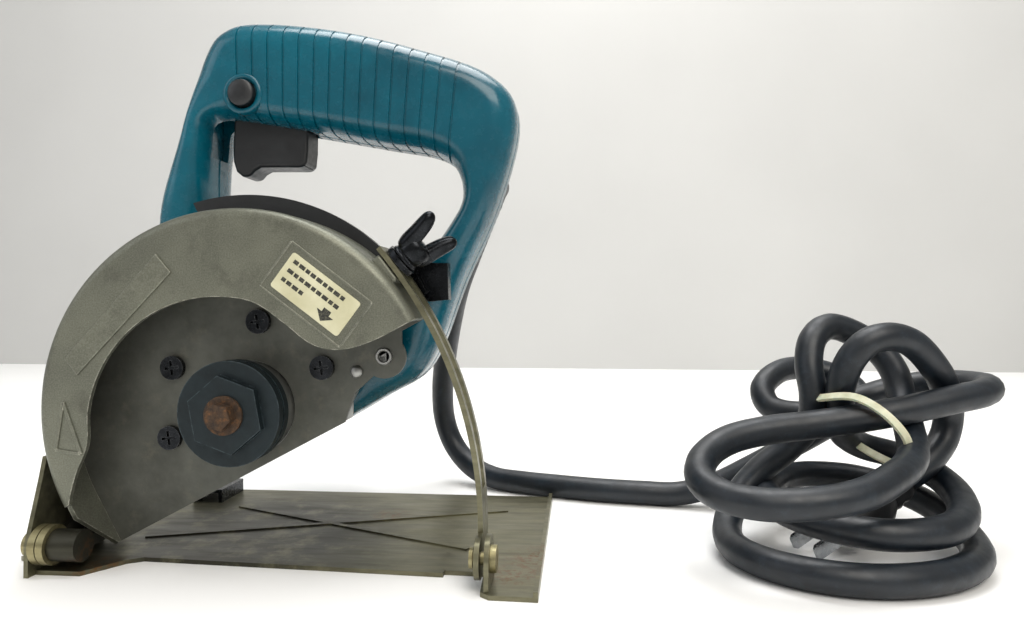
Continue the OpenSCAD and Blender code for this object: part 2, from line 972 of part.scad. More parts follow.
// Pressed rib between two places on the sole
module rib(a, b, w) {
    d = b - a;
    translate([a[0], a[1], base_t - 0.1])
        rotate(atan2(d[1], d[0]))
            translate([0, -w / 2, 0])
                cube([norm(d), w, rib_h + 0.1]);
}

// Front flange with the arc slot for the bevel stud
module front_flange_2d()
    difference() {
        intersection() {
            translate([bevel_y, bevel_z])
                circle(36);
            polygon([[-60.5, 0], [-60.2, 11], [-52.8, 32.4], [-50.4, 40.2], [-15, 40.2], [-15, 0]]);
        }
        difference() {
            translate([bevel_y, bevel_z])
                circle(bevel_slot_r + bevel_bolt_r + 0.4);
            translate([bevel_y, bevel_z])
                circle(bevel_slot_r - bevel_bolt_r - 0.4);
            translate([bevel_y, bevel_z])
                rotate(0)
                    translate([-100, -100])
                        square([200, 100]);
            translate([bevel_y, bevel_z])
                rotate(60)
                    translate([-100, 0])
                        square([200, 100]);
        }
    }

module base_plate()
    color("#8a8671")
        difference() {
            union() {
                linear_extrude(base_t)
                    base_outline_2d();
                rib([-70, -19], [70, 30], 2.4);
                rib([-52, 26], [60, -22], 2.4);
                along(flange_x, flange_x + base_t)
                    front_flange_2d();
                // Raised rear lip
                translate([base_l / 2 - base_t, -65, 0])
                    cube([base_t, base_far_y + 65, 3.4]);
                // Upright tab that carries the depth guide
                along(tab_x, tab_x + base_t) {
                    translate([bevel_y, bevel_z])
                        circle(8);
                    translate([bevel_y - 8, 0])
                        square([16, bevel_z]);
                }
                // Sighting tongue
                linear_extrude(base_t)
                    polygon([[flange_x + 1, -48], [flange_x - 9, -47], [flange_x - 14, -44],
                        [flange_x - 9, -41], [flange_x + 1, -40]]);
            }
            rod_x([bevel_y, bevel_z], bevel_pin_r + running_gap, flange_x - 1, flange_x + 4);
            rod_x([bevel_y, bevel_z], rivet_r, tab_x - 1, tab_x + 4);
        }

module fence_bridge()
    color("#2b2c2d")
        difference() {
            translate([-78, 32, base_t])
                cube([14, 22, 6]);
            translate([-76.2, 30, base_t - 1])
                cube([10.4, 30, 5.4]);
        }

module rear_rivet()
    color("#b8b199")
        union() {
            rod_x([bevel_y, bevel_z], rivet_r, tab_x - 4.4, tab_x + base_t);
            rod_x([bevel_y, bevel_z], 4.6, tab_x + base_t, tab_x + base_t + 1.9);
            rod_x([bevel_y, bevel_z], 3.6, tab_x - 5.6, tab_x - 4.4);
        }

// ---- Depth guide ----

module guide_arc_2d(r0, r1, a0, a1)
    intersection() {
        difference() {
            circle(r = r1, $fn = 128);
            circle(r = r0, $fn = 128);
        }
        polygon([[0, 0], 2 * r1 * [cos(a0), sin(a0)], 2 * r1 * [cos((a0 + a1) / 2), sin((a0 + a1) / 2)],
            2 * r1 * [cos(a1), sin(a1)]]);
    }

module depth_guide()
    color("#8a8671")
        difference() {
            union() {
                translate([pivot_x, 0, pivot_z])
                    across(guide_near_y, guide_near_y + guide_w)
                        guide_arc_2d(guide_r, guide_r + guide_t, 0, guide_top_angle);
                translate([pivot_x + guide_r, guide_near_y, 5])
                    cube([guide_t, guide_w, pivot_z - 5]);
                // Foot with the pivot hole
                along(pivot_x + guide_r, pivot_x + guide_r + guide_t) {
                    translate([bevel_y, bevel_z])
                        circle(7);
                    translate([bevel_y, 5])
                        square([guide_near_y - bevel_y + 1, 12]);
                }
            }
            // Slot along the arc
            translate([pivot_x, 0, pivot_z])
                across(guide_mid_y - slot_w / 2, guide_mid_y + slot_w / 2)
                    guide_arc_2d(guide_r - 1, guide_r + guide_t + 1, 5, 38.7);
            rod_x([bevel_y, bevel_z], rivet_r + running_gap, 60, 75);
        }

// Parts on the clamp bolt's axis, which points away from the depth pivot
module on_clamp_axis()
    on_head()
        rotate([0, 90 - bolt_angle, 0])
            translate([0, guide_mid_y, 0])
                children();

module depth_bolt_washer()
    color("#3c3f42")
        on_clamp_axis()
            translate([0, 0, guide_r + guide_t + 0.3])
                difference() {
                    cylinder(r = 6, h = 2);
                    translate([0, 0, -1])
                        cylinder(r = clamp_bolt_r + running_gap, h = 4);
                }

module depth_wing_bolt()
    color("#1b1b1c")
        on_clamp_axis() {
            translate([0, 0, 135])
                cylinder(r = clamp_bolt_r, h = 20);
            translate([0, 0, guide_r + guide_t + 2.4])
                cylinder(r = 4.6, h = 6);
            translate([0, 0, guide_r + guide_t + 2.4])
                rotate(35)
                    wings(2.8, 5.2, 9, 2.2);
        }

// ---- Mains lead ----

module cord_clamp()
    color("#2a2a2c")
        on_head()
            translate([cord_exit_at[0] - 8, handle_mid_y + 0.4, cord_exit_at[1] + 7])
                cube([12, 5, 7]);

module cord_guard()
    color("#17181a") {
        on_head()
            rod_y(cord_exit_at, 6, handle_mid_y + 3, handle_far_y + 3);
        difference() {
            translate(cord_start - guard_l * guard_aim)
                rotate([0, acos(guard_aim[2]), atan2(guard_aim[1], guard_aim[0])])
                    cylinder(r1 = 8, r2 = cord_d / 2 + 1, h = guard_l);
            translate([0, handle_far_y + 0.2 - 50, 100])
                cube([200, 100, 200], center = true);
        }
    }

module cord_lead()
    color("#26282b")
        swept_tube(smooth_open(cord_route, 2), cord_d / 2, 10);

module cord_coil_low()
    color("#26282b")
        linear_extrude(coil_low_h)
            difference() {
                polygon(smooth_closed(coil_low_outline, 3));
                translate([178, -24])
                    square([58, 40]);
            }

module cord_coil_top()
    color("#26282b") {
        translate([0, 0, coil_low_h])
            linear_extrude(coil_mid_z - coil_low_h)
                polygon(smooth_closed(coil_mid_outline, 3));
        translate([0, 0, coil_mid_z - 1])
            linear_extrude(coil_top_z - coil_mid_z + 1)
                polygon(smooth_closed(coil_top_outline, 3));
    }

module rubber_band()
    color("#d8d3b8")
        translate([208, 0, 48])
            rotate([0, 90, 25])
                difference() {
                    cylinder(r = 20, h = 4, center = true);
                    cylinder(r = 18.6, h = 6, center = true);
                }

module plug()
    color("#1a1b1d") {
        translate([plug_at[0] - 14, plug_at[1] - 12, 0])
            cube([28, 24, 20]);
        translate([plug_at[0] + 13, plug_at[1] - 6, 8])
            cube([236 - plug_at[0] - 13, 12, 12]);
        for (s = [-1, 1])
            translate([plug_at[0] - 31, plug_at[1] + s * 6.35 - 0.75, 5])
                cube([18, 1.5, 6.3]);
    }

blade_case();
case_wall();
case_backing_plate();
case_screws();
blank_label();
gear_cover();
gear_housing();
case_stay();
handle_left();
handle_right();
handle_screws();
motor_housing();
motor_end_cover();
end_cover_screws();
stator_core();
stator_windings();
fan_baffle();
brush_holders();
carbon_brushes();
brush_caps();
spindle_bearings();
armature_bearings();
switch_body();
cord_clamp();
cord_guard();
blank_nameplate();
spindle();
drive_gear();
inner_flange();
outer_flange();
flange_bolt();
armature_shaft();
armature_core();
armature_windings();
commutator();
cooling_fan();
pinion();
bevel_bracket();
depth_pivot_pin();
bevel_pivot_pin();
pivot_washers();
bevel_stud();
bevel_nut_washer();
bevel_wing_nut();
base_plate();
fence_bridge();
rear_rivet();
depth_guide();
depth_bolt_washer();
depth_wing_bolt();
trigger();
trigger_spring();
lock_button();
lock_button_spring();
cord_lead();
cord_coil_low();
cord_coil_top();
rubber_band();
plug();
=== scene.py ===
"""A hand-held trim saw on a pale floor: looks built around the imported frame."""
import json
import math

import bmesh
import bpy
from mathutils import Matrix, Vector
from mathutils.geometry import tessellate_polygon


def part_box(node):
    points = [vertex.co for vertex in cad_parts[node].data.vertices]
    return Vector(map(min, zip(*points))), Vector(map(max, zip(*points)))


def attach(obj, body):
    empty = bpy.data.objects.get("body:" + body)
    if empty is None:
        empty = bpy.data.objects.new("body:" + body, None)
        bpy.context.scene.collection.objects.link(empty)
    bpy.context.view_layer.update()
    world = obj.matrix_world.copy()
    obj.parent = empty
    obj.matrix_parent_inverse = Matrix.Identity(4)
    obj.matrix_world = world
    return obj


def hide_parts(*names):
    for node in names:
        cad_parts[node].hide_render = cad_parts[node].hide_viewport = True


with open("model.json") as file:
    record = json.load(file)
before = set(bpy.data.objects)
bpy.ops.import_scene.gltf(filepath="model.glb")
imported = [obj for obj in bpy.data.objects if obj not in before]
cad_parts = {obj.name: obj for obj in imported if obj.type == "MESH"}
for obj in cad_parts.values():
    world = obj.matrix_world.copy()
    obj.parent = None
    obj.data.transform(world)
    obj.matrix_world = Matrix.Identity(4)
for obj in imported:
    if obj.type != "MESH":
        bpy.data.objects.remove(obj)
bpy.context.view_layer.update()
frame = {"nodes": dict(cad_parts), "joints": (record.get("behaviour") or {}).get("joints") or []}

MM = 0.001
NODES = frame["nodes"]
DEPTH_TILT = next(joint for joint in frame["joints"] if joint["name"] == "depth_tilt")
HEAD_TILT = math.radians(DEPTH_TILT["range_deg"][1])
DEPTH_PIVOT = Vector(DEPTH_TILT["pos_m"])
DEPTH_PIVOT.y = 0
# Level head layout in millimetres about the depth pivot, to the row frame
HEAD = Matrix.Translation(DEPTH_PIVOT) @ Matrix.Rotation(-HEAD_TILT, 4, "Y") @ Matrix.Scale(MM, 4)
ROW = Matrix.Scale(MM, 4)

# ---------------------------------------------------------------- camera

camera = bpy.data.objects.new("camera", bpy.data.cameras.new("camera"))
bpy.context.scene.collection.objects.link(camera)
camera.data.lens = 26.02
camera.data.sensor_width = 36
camera.location = (0.102, -0.297, 0.096)
CAMERA_DIP = 1.43
CAMERA_TURN = 5.25
camera.rotation_euler = (math.radians(90 - CAMERA_DIP), 0, math.radians(CAMERA_TURN))
bpy.context.scene.camera = camera


# ---------------------------------------------------------------- materials

def hex_linear(code):
    """An sRGB hex colour as linear RGBA."""
    parts = [int(code[i:i + 2], 16) / 255 for i in (1, 3, 5)]
    return [p / 12.92 if p <= 0.04045 else ((p + 0.055) / 1.055) ** 2.4 for p in parts] + [1]


def add(material, kind, settings=None, **inputs):
    """Adds a node. settings are its properties; inputs name its sockets, or number them as i0, i1."""
    tree = material.node_tree
    node = tree.nodes.new(kind)
    for key, value in (settings or {}).items():
        setattr(node, key, value)
    for key, value in inputs.items():
        socket = node.inputs[int(key[1:]) if key[1:].isdigit() else key.replace("_", " ")]
        if isinstance(value, bpy.types.NodeSocket):
            tree.links.new(value, socket)
        else:
            socket.default_value = value
    return node


def new_material(name, **shader):
    """A material with its shader, its output and the place on the piece in metres."""
    material = bpy.data.materials.new(name)
    material.use_nodes = True
    material.node_tree.nodes.clear()
    surface = add(material, "ShaderNodeBsdfPrincipled", **shader)
    add(material, "ShaderNodeOutputMaterial", Surface=surface.outputs["BSDF"])
    place = add(material, "ShaderNodeTexCoord").outputs["Object"]
    return material, surface, place


def feed(material, surface, **inputs):
    """Links sockets to the shader's own inputs."""
    for key, socket in inputs.items():
        material.node_tree.links.new(socket, surface.inputs[key.replace("_", " ")])


def grain(material, place, size_mm, detail=3, roughness=0.55):
    """Noise whose lumps are size_mm across."""
    return add(material, "ShaderNodeTexNoise", Vector=place, Scale=1 / (size_mm * MM),
               Detail=detail, Roughness=roughness).outputs["Fac"]


def ramp(material, factor, stops):
    """Colours, or greys, along a factor: stops are (position, hex colour)."""
    node = add(material, "ShaderNodeValToRGB", Fac=factor)
    elements = node.color_ramp.elements
    while len(elements) < len(stops):
        elements.new(0.5)
    for element, (position, code) in zip(elements, stops):
        element.position = position
        element.color = hex_linear(code)
    return node.outputs["Color"]


def blend(material, factor, under, over):
    """Lays one colour over another by a factor."""
    return add(material, "ShaderNodeMix", {"data_type": "RGBA", "blend_type": "MIX"},
               i0=factor, i6=under, i7=over).outputs[2]


def span(material, factor, low, high, out_low=0.0, out_high=1.0):
    """Maps a factor's range to another."""
    return add(material, "ShaderNodeMapRange", i0=factor, i1=low, i2=high, i3=out_low,
               i4=out_high).outputs[0]


def bump(material, height, depth_mm):
    """Surface relief of a depth in millimetres."""
    return add(material, "ShaderNodeBump", Height=height, Distance=depth_mm * MM,
               Strength=1.0).outputs["Normal"]


def worn_edges(material, radius_mm=0.7):
    """Bright along edges, broken up by grit: where a rounded normal leaves the true one."""
    place = add(material, "ShaderNodeTexCoord").outputs["Object"]
    rounded = add(material, "ShaderNodeBevel", {"samples": 6}, Radius=radius_mm * MM).outputs["Normal"]
    true = add(material, "ShaderNodeNewGeometry").outputs["Normal"]
    match = add(material, "ShaderNodeVectorMath", {"operation": "DOT_PRODUCT"}, i0=rounded, i1=true)
    edge = span(material, match.outputs["Value"], 0.99, 0.82)
    grit = span(material, grain(material, place, 2.2), 0.38, 0.6)
    return add(material, "ShaderNodeMath", {"operation": "MULTIPLY"}, i0=edge, i1=grit).outputs[0]


def glossy_teal_abs():
    """Moulded ABS, polished tool: deep teal with a high gloss, fine handling scratches, some dust."""
    m, s, place = new_material("glossy_teal_abs", IOR=1.44, Coat_Weight=0.18, Coat_Roughness=0.05)
    cloud = ramp(m, grain(m, place, 42), [(0.35, "#004656"), (0.65, "#005c6e")])
    dust = span(m, grain(m, place, 7, 6, 0.7), 0.6, 0.78, 0, 0.08)
    feed(m, s, Base_Color=blend(m, dust, cloud, hex_linear("#2f7681")),
         Roughness=span(m, grain(m, place, 3, 5), 0.3, 0.7, 0.17, 0.33),
         Normal=bump(m, grain(m, place, 1.1, 2), 0.012))
    return m


def metallic_case_paint():
    """Baked metallic paint over die-cast aluminium: warm grey, orange peel, rubbed and grimy."""
    m, s, place = new_material("metallic_case_paint", Metallic=0.55, IOR=1.5)
    body = ramp(m, grain(m, place, 26, 5, 0.6), [(0.3, "#616256"), (0.7, "#777869")])
    fleck = ramp(m, grain(m, place, 0.5, 2), [(0.35, "#50524a"), (0.7, "#919387")])
    paint = blend(m, 0.3, body, fleck)
    grime = span(m, grain(m, place, 11, 8, 0.72), 0.54, 0.72, 0, 0.5)
    dirty = blend(m, grime, paint, hex_linear("#47463e"))
    feed(m, s, Base_Color=blend(m, worn_edges(m), dirty, hex_linear("#bdbbae")),
         Roughness=span(m, grain(m, place, 5, 4), 0.3, 0.7, 0.36, 0.52),
         Normal=bump(m, grain(m, place, 1.3, 2), 0.035))
    return m


def shaded_dusty_case_wall():
    """The same paint inside the case, painted darker as shade in the recess, sanded by stone slurry that
    dried in streaks.
    """
    m, s, place = new_material("shaded_dusty_case_wall", Metallic=0.45, IOR=1.5)
    # Painted shade: tones darker than the front sheet's paint, for the shade inside the case
    body = ramp(m, grain(m, place, 20, 6, 0.65), [(0.3, "#494a44"), (0.7, "#62635c")])
    rings = add(m, "ShaderNodeTexNoise", Scale=1 / (9 * MM), Detail=6, Roughness=0.75, Vector=place)
    scuff = span(m, rings.outputs["Fac"], 0.54, 0.74, 0, 0.35)
    feed(m, s, Base_Color=blend(m, scuff, body, hex_linear("#7b7666")),
         Roughness=span(m, grain(m, place, 4, 4), 0.3, 0.7, 0.44, 0.62),
         Normal=bump(m, grain(m, place, 0.9, 3), 0.03))
    return m


def die_cast_aluminium():
    """Bare die-cast aluminium: pale grey with a dull cast skin and small pits."""
    m, s, place = new_material("die_cast_aluminium", Metallic=1.0)
    skin = ramp(m, grain(m, place, 12, 5), [(0.3, "#8f908e"), (0.7, "#b2b2ae")])
    feed(m, s, Base_Color=skin, Roughness=span(m, grain(m, place, 3, 4), 0.3, 0.7, 0.38, 0.55),
         Normal=bump(m, grain(m, place, 0.8, 3), 0.04))
    return m


def black_nylon():
    """Glass-filled nylon, moulded: near black with a fine spark-eroded grain."""
    m, s, place = new_material("black_nylon", IOR=1.53)
    tone = ramp(m, grain(m, place, 9, 5), [(0.3, "#121315"), (0.7, "#1f2123")])
    feed(m, s, Base_Color=tone, Roughness=span(m, grain(m, place, 2, 4), 0.3, 0.7, 0.34, 0.5),
         Normal=bump(m, grain(m, place, 0.6, 2), 0.02))
    return m


def blackened_steel():
    """Black-oxide steel, oiled: dark, half glossy, with the oxide rubbed off its edges."""
    m, s, place = new_material("blackened_steel", Metallic=0.9)
    oxide = ramp(m, grain(m, place, 6, 5), [(0.3, "#17191b"), (0.7, "#2b2d30")])
    feed(m, s, Base_Color=blend(m, worn_edges(m, 0.4), oxide, hex_linear("#5d5f61")),
         Roughness=span(m, grain(m, place, 2, 4), 0.3, 0.7, 0.2, 0.36),
         Normal=bump(m, grain(m, place, 0.7, 3), 0.03))
    return m


def blued_flange_steel():
    """Turned steel, phosphated and oiled: slate blue-grey with faint lathe rings and grey rims."""
    m, s, place = new_material("blued_flange_steel", Metallic=0.5)
    slate = ramp(m, grain(m, place, 8, 6, 0.65), [(0.3, "#151d20"), (0.7, "#1f2a2e")])
    scuff = span(m, grain(m, place, 3, 6, 0.75), 0.58, 0.76, 0, 0.25)
    worn = blend(m, scuff, slate, hex_linear("#364348"))
    feed(m, s, Base_Color=blend(m, worn_edges(m), worn, hex_linear("#4a575c")),
         Roughness=span(m, grain(m, place, 3, 5), 0.3, 0.7, 0.4, 0.56),
         Normal=bump(m, grain(m, place, 0.7, 3), 0.025))
    return m


def rusted_bolt_steel():
    """Bare steel bolt, rusted by water: brown crust with darker bare patches."""
    m, s, place = new_material("rusted_bolt_steel", Metallic=0.45)
    crust = ramp(m, grain(m, place, 2.2, 6, 0.7),
                 [(0.3, "#2a2522"), (0.55, "#4d3a2a"), (0.72, "#7a5230")])
    feed(m, s, Base_Color=crust, Roughness=span(m, grain(m, place, 1.5, 4), 0.3, 0.7, 0.5, 0.8),
         Normal=bump(m, grain(m, place, 0.6, 4), 0.08))
    return m


RUST_SPOTS = [((0.087, -0.029, 0.002), 0.016), ((0.080, -0.046, 0.002), 0.012),
              ((-0.070, -0.050, 0.002), 0.012), ((0.020, 0.020, 0.003), 0.010)]


# Centre and radius in metres of a painted shade patch: the zinc darkens under the blade case
SHADE_POOL_AT = (-0.032, -0.01, 0.003)
SHADE_POOL_R = 0.074


def yellow_zinc_sheet(name, dark, pale):
    """Rolled steel, yellow-passivated zinc: olive sheen, rolling streaks, stains, rust spots and a broad
    painted shade patch under the blade case.
    """
    m, s, place = new_material(name, Metallic=0.82)
    along = add(m, "ShaderNodeMapping", Vector=place, Scale=(0.16, 1, 1)).outputs["Vector"]
    plate = ramp(m, grain(m, along, 3.2, 6, 0.62), [(0.28, dark), (0.72, pale)])
    stain = span(m, grain(m, place, 16, 7, 0.7), 0.53, 0.68, 0, 0.55)
    colour = blend(m, stain, plate, hex_linear("#5d5946"))
    # Painted shade: the zinc darkens towards a centre under the blade case, broken up by noise
    oiled = add(m, "ShaderNodeVectorMath", {"operation": "DISTANCE"}, i0=place, i1=SHADE_POOL_AT)
    shade_pool = span(m, oiled.outputs["Value"], SHADE_POOL_R, SHADE_POOL_R * 0.5)
    painted_shade = add(m, "ShaderNodeMath", {"operation": "MULTIPLY"}, i0=shade_pool,
                 i1=span(m, grain(m, place, 14, 6, 0.7), 0.32, 0.5, 0, 0.95)).outputs[0]
    colour = blend(m, painted_shade, colour, hex_linear("#38372f"))
    for centre, radius in RUST_SPOTS:
        gap = add(m, "ShaderNodeVectorMath", {"operation": "DISTANCE"}, i0=place, i1=centre).outputs["Value"]
        near = span(m, gap, radius, radius * 0.25)
        patch = add(m, "ShaderNodeMath", {"operation": "MULTIPLY"}, i0=near,
                    i1=span(m, grain(m, place, 2.4, 7, 0.75), 0.46, 0.6)).outputs[0]
        colour = blend(m, patch, colour, hex_linear("#6b4a2a"))
    feed(m, s, Base_Color=colour,
         Roughness=span(m, grain(m, along, 4, 5), 0.3, 0.7, 0.3, 0.46),
         Normal=bump(m, grain(m, along, 2.2, 4), 0.02))
    return m


def plain_metal(name, dark, pale, rough, size_mm):
    """Metal inner part: two close tones with a fine machined grain."""
    m, s, place = new_material(name, Metallic=1.0)
    feed(m, s, Base_Color=ramp(m, grain(m, place, size_mm, 4), [(0.3, dark), (0.7, pale)]),
         Roughness=span(m, grain(m, place, size_mm / 2, 4), 0.3, 0.7, rough, rough + 0.14),
         Normal=bump(m, grain(m, place, size_mm / 5, 2), 0.015))
    return m


def enamelled_copper():
    """Enamelled copper wire, wound: fine dark grooves between amber-brown turns."""
    m, s, place = new_material("enamelled_copper", Metallic=0.6, Coat_Weight=0.5)
    wire_mm = 0.8
    turns = add(m, "ShaderNodeTexWave", {"bands_direction": "Y"}, Vector=place,
                Scale=0.05 / (wire_mm * MM) / math.pi, Distortion=0.6).outputs["Fac"]
    feed(m, s, Base_Color=ramp(m, turns, [(0.1, "#4a2814"), (0.7, "#b06a35")]),
         Normal=bump(m, turns, 0.2))
    s.inputs["Roughness"].default_value = 0.34
    return m


def pressed_carbon():
    """Pressed carbon: dull dark grey, slightly greasy."""
    m, s, place = new_material("pressed_carbon", IOR=1.7)
    feed(m, s, Base_Color=ramp(m, grain(m, place, 1.5), [(0.3, "#242427"), (0.7, "#3c3c40")]))
    s.inputs["Roughness"].default_value = 0.55
    return m


def cream_nylon():
    """Natural nylon, moulded: cream and slightly waxy."""
    m, s, place = new_material("cream_nylon", IOR=1.53, Subsurface_Weight=0.1)
    feed(m, s, Base_Color=ramp(m, grain(m, place, 6), [(0.3, "#d8d0b8"), (0.7, "#efe9d8")]))
    s.inputs["Roughness"].default_value = 0.4
    return m


def aged_label_film():
    """Printed polyester label: cream, yellowed at places, with a dull varnish and scuffs."""
    m, s, place = new_material("aged_label_film", IOR=1.5)
    film = ramp(m, grain(m, place, 9, 5), [(0.3, "#bfbb98"), (0.7, "#d3d0b2")])
    scuff = span(m, grain(m, place, 1.8, 7, 0.8), 0.58, 0.72, 0, 0.4)
    feed(m, s, Base_Color=blend(m, scuff, film, hex_linear("#a39f80")),
         Roughness=span(m, grain(m, place, 3), 0.3, 0.7, 0.4, 0.55))
    return m


def label_ink():
    """Screen ink: near black, thin, worn through in specks."""
    m, s, place = new_material("label_ink", IOR=1.5)
    feed(m, s, Base_Color=ramp(m, grain(m, place, 0.7, 5, 0.7), [(0.45, "#1d1d1b"), (0.72, "#6a6858")]))
    s.inputs["Roughness"].default_value = 0.5
    return m


def brushed_foil():
    """Aluminium foil plate, brushed along one way: silver with hair lines."""
    m, s, place = new_material("brushed_foil", Metallic=1.0)
    hair = add(m, "ShaderNodeMapping", Vector=place, Scale=(0.05, 1, 1)).outputs["Vector"]
    line = grain(m, hair, 0.3, 3)
    feed(m, s, Base_Color=ramp(m, line, [(0.3, "#a9abad"), (0.7, "#d0d2d3")]),
         Normal=bump(m, line, 0.01))
    s.inputs["Roughness"].default_value = 0.3
    return m


def vinyl_cord_sheath():
    """Extruded rubber-like PVC sheath: dark grey, satin, dusty, with a fine drawn grain."""
    m, s, place = new_material("vinyl_cord_sheath", IOR=1.52)
    sheath = ramp(m, grain(m, place, 14, 5), [(0.3, "#060d14"), (0.7, "#0d1720")])
    dust = span(m, grain(m, place, 4, 7, 0.72), 0.52, 0.74, 0, 0.3)
    feed(m, s, Base_Color=blend(m, dust, sheath, hex_linear("#35424e")),
         Roughness=span(m, grain(m, place, 5, 5), 0.3, 0.7, 0.36, 0.54),
         Normal=bump(m, grain(m, place, 1.4, 3), 0.03))
    return m


def natural_rubber_band():
    """Latex rubber band: cream, translucent and powdery."""
    m, s, place = new_material("natural_rubber_band", IOR=1.52, Subsurface_Weight=0.2)
    feed(m, s, Base_Color=ramp(m, grain(m, place, 5, 5), [(0.3, "#bdb594"), (0.7, "#ddd7bb")]),
         Normal=bump(m, grain(m, place, 1.1, 3), 0.05))
    s.inputs["Roughness"].default_value = 0.6
    return m


teal = glossy_teal_abs()
case_paint = metallic_case_paint()
case_inside = shaded_dusty_case_wall()
cast = die_cast_aluminium()
nylon = black_nylon()
black_steel = blackened_steel()
flange_steel = blued_flange_steel()
bolt_steel = rusted_bolt_steel()
olive_zinc = yellow_zinc_sheet("olive_zinc_sheet", "#5f5d4b", "#817e66")
brass_zinc = yellow_zinc_sheet("brassy_zinc_turned", "#857d5c", "#aaa27c")
bright_steel = plain_metal("ground_steel", "#a2a5a8", "#c6c9cb", 0.2, 6)
lamination = plain_metal("varnished_laminations", "#55585a", "#7b7d7f", 0.42, 1)
copper = plain_metal("commutator_copper", "#a5633a", "#c98a58", 0.3, 4)
brass = plain_metal("drawn_brass", "#9b7c38", "#c3a257", 0.28, 5)
# Painted shade: the bevel bracket's zinc is made near black for the shadow it stands in
shaded_zinc = yellow_zinc_sheet("shade_dark_zinc_bracket", "#2f2e27", "#45443a")
winding = enamelled_copper()
carbon = pressed_carbon()
cream = cream_nylon()
label_film = aged_label_film()
ink = label_ink()
foil = brushed_foil()
cord_sheath = vinyl_cord_sheath()
band_rubber = natural_rubber_band()

# Finish and edge radius in millimetres of each carried-over CAD node
CAD_FINISH = {
    "case_wall": (case_inside, 0.4), "case_backing_plate": (nylon, 0.5),
    "case_screws": (black_steel, 0.25), "gear_cover": (cast, 0.4), "gear_housing": (cast, 0.6),
    "case_stay": (black_steel, 0.5), "handle_screws": (bright_steel, 0.2), "motor_housing": (teal, 0.5),
    "motor_end_cover": (teal, 0.8), "end_cover_screws": (bright_steel, 0.2),
    "stator_core": (lamination, 0), "stator_windings": (winding, 0.4), "fan_baffle": (nylon, 0),
    "brush_holders": (brass, 0.2), "carbon_brushes": (carbon, 0.2), "brush_caps": (nylon, 0.3),
    "spindle_bearings": (bright_steel, 0.2), "armature_bearings": (bright_steel, 0.2),
    "switch_body": (nylon, 0.5), "cord_clamp": (nylon, 0.4), "blank_nameplate": (foil, 0),
    "spindle": (bright_steel, 0.2), "drive_gear": (lamination, 0), "inner_flange": (flange_steel, 0.4),
    "outer_flange": (flange_steel, 0.6), "flange_bolt": (bolt_steel, 0.35),
    "armature_shaft": (bright_steel, 0.2), "armature_core": (lamination, 0),
    "armature_windings": (winding, 0.5), "commutator": (copper, 0), "cooling_fan": (cream, 0.2),
    "pinion": (bright_steel, 0), "bevel_bracket": (shaded_zinc, 0.3),
    "depth_pivot_pin": (brass_zinc, 0.3), "bevel_pivot_pin": (brass_zinc, 0.4),
    "pivot_washers": (brass_zinc, 0.2), "bevel_stud": (bright_steel, 0.2),
    "bevel_nut_washer": (bright_steel, 0.15), "base_plate": (olive_zinc, 0.35),
    "fence_bridge": (black_steel, 0.4), "rear_rivet": (brass_zinc, 0.4),
    "depth_guide": (olive_zinc, 0.3), "depth_bolt_washer": (black_steel, 0.2),
    "trigger_spring": (bright_steel, 0), "lock_button_spring": (bright_steel, 0),
}


def round_edges(obj, radius_mm, segments=2, over_degrees=35):
    """Rounds the edges sharper than an angle, as a modifier."""
    rounding = obj.modifiers.new("edge", "BEVEL")
    rounding.width = radius_mm * MM
    rounding.segments = segments
    rounding.limit_method = "ANGLE"
    rounding.angle_limit = math.radians(over_degrees)
    rounding.harden_normals = True


for node_name, (finish, edge_mm) in CAD_FINISH.items():
    cad = NODES[node_name]
    cad.data.materials.clear()
    cad.data.materials.append(finish)
    if edge_mm:
        round_edges(cad, edge_mm)


# ---------------------------------------------------------------- mesh helpers

def piece(name, verts, faces, place, material, body, slot, replaces=(), bevel=0, segments=2, sharp=40):
    """A mesh piece from points that place brings to the row frame. With no body it's only a cutting tool."""
    mesh = bpy.data.meshes.new(name)
    mesh.from_pydata([place @ Vector(v) for v in verts], [], faces)
    build = bmesh.new()
    build.from_mesh(mesh)
    bmesh.ops.remove_doubles(build, verts=build.verts, dist=0.005 * MM)
    bmesh.ops.recalc_face_normals(build, faces=build.faces)
    build.to_mesh(mesh)
    build.free()
    obj = bpy.data.objects.new(name, mesh)
    bpy.context.scene.collection.objects.link(obj)
    mesh.materials.append(material)
    mesh.shade_smooth()
    mesh.set_sharp_from_angle(angle=math.radians(sharp))
    if bevel:
        round_edges(obj, bevel, segments)
    if body:
        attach(obj, body)
        if replaces:
            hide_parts(*replaces)
    return obj


def smooth_step(a, b, c, d, steps):
    """Points of a smooth curve from b up to c, between their neighbours a and d."""
    out = []
    for s in range(steps):
        t = s / steps
        out.append(0.5 * (2 * b + (c - a) * t + (2 * a - 5 * b + 4 * c - d) * t * t
                          + (3 * b - a - 3 * c + d) * t ** 3))
    return out


def smooth_loop(points, steps):
    """A closed smooth curve through the points."""
    out = []
    n = len(points)
    for i in range(n):
        out += smooth_step(*(Vector(points[(i + k) % n]) for k in (-1, 0, 1, 2)), steps)
    return out


def smooth_path(points, steps):
    """An open smooth curve through the points."""
    out = []
    n = len(points)
    for i in range(n - 1):
        out += smooth_step(*(Vector(points[min(max(i + k, 0), n - 1)]) for k in (-1, 0, 1, 2)), steps)
    return out + [Vector(points[-1])]


def moved_in(loop, distances):
    """A closed 2D loop whose points move to its left, each by its own distance."""
    out = []
    n = len(loop)
    for i, p in enumerate(loop):
        way = loop[(i + 1) % n] - loop[i - 1]
        side = Vector((-way.y, way.x)).normalized()
        out.append(p + side * distances[i])
    return out


def circle_loop(centre, radius, count):
    """A 2D circle as points."""
    return [Vector((centre[0] + radius * math.cos(2 * math.pi * i / count),
                    centre[1] + radius * math.sin(2 * math.pi * i / count))) for i in range(count)]


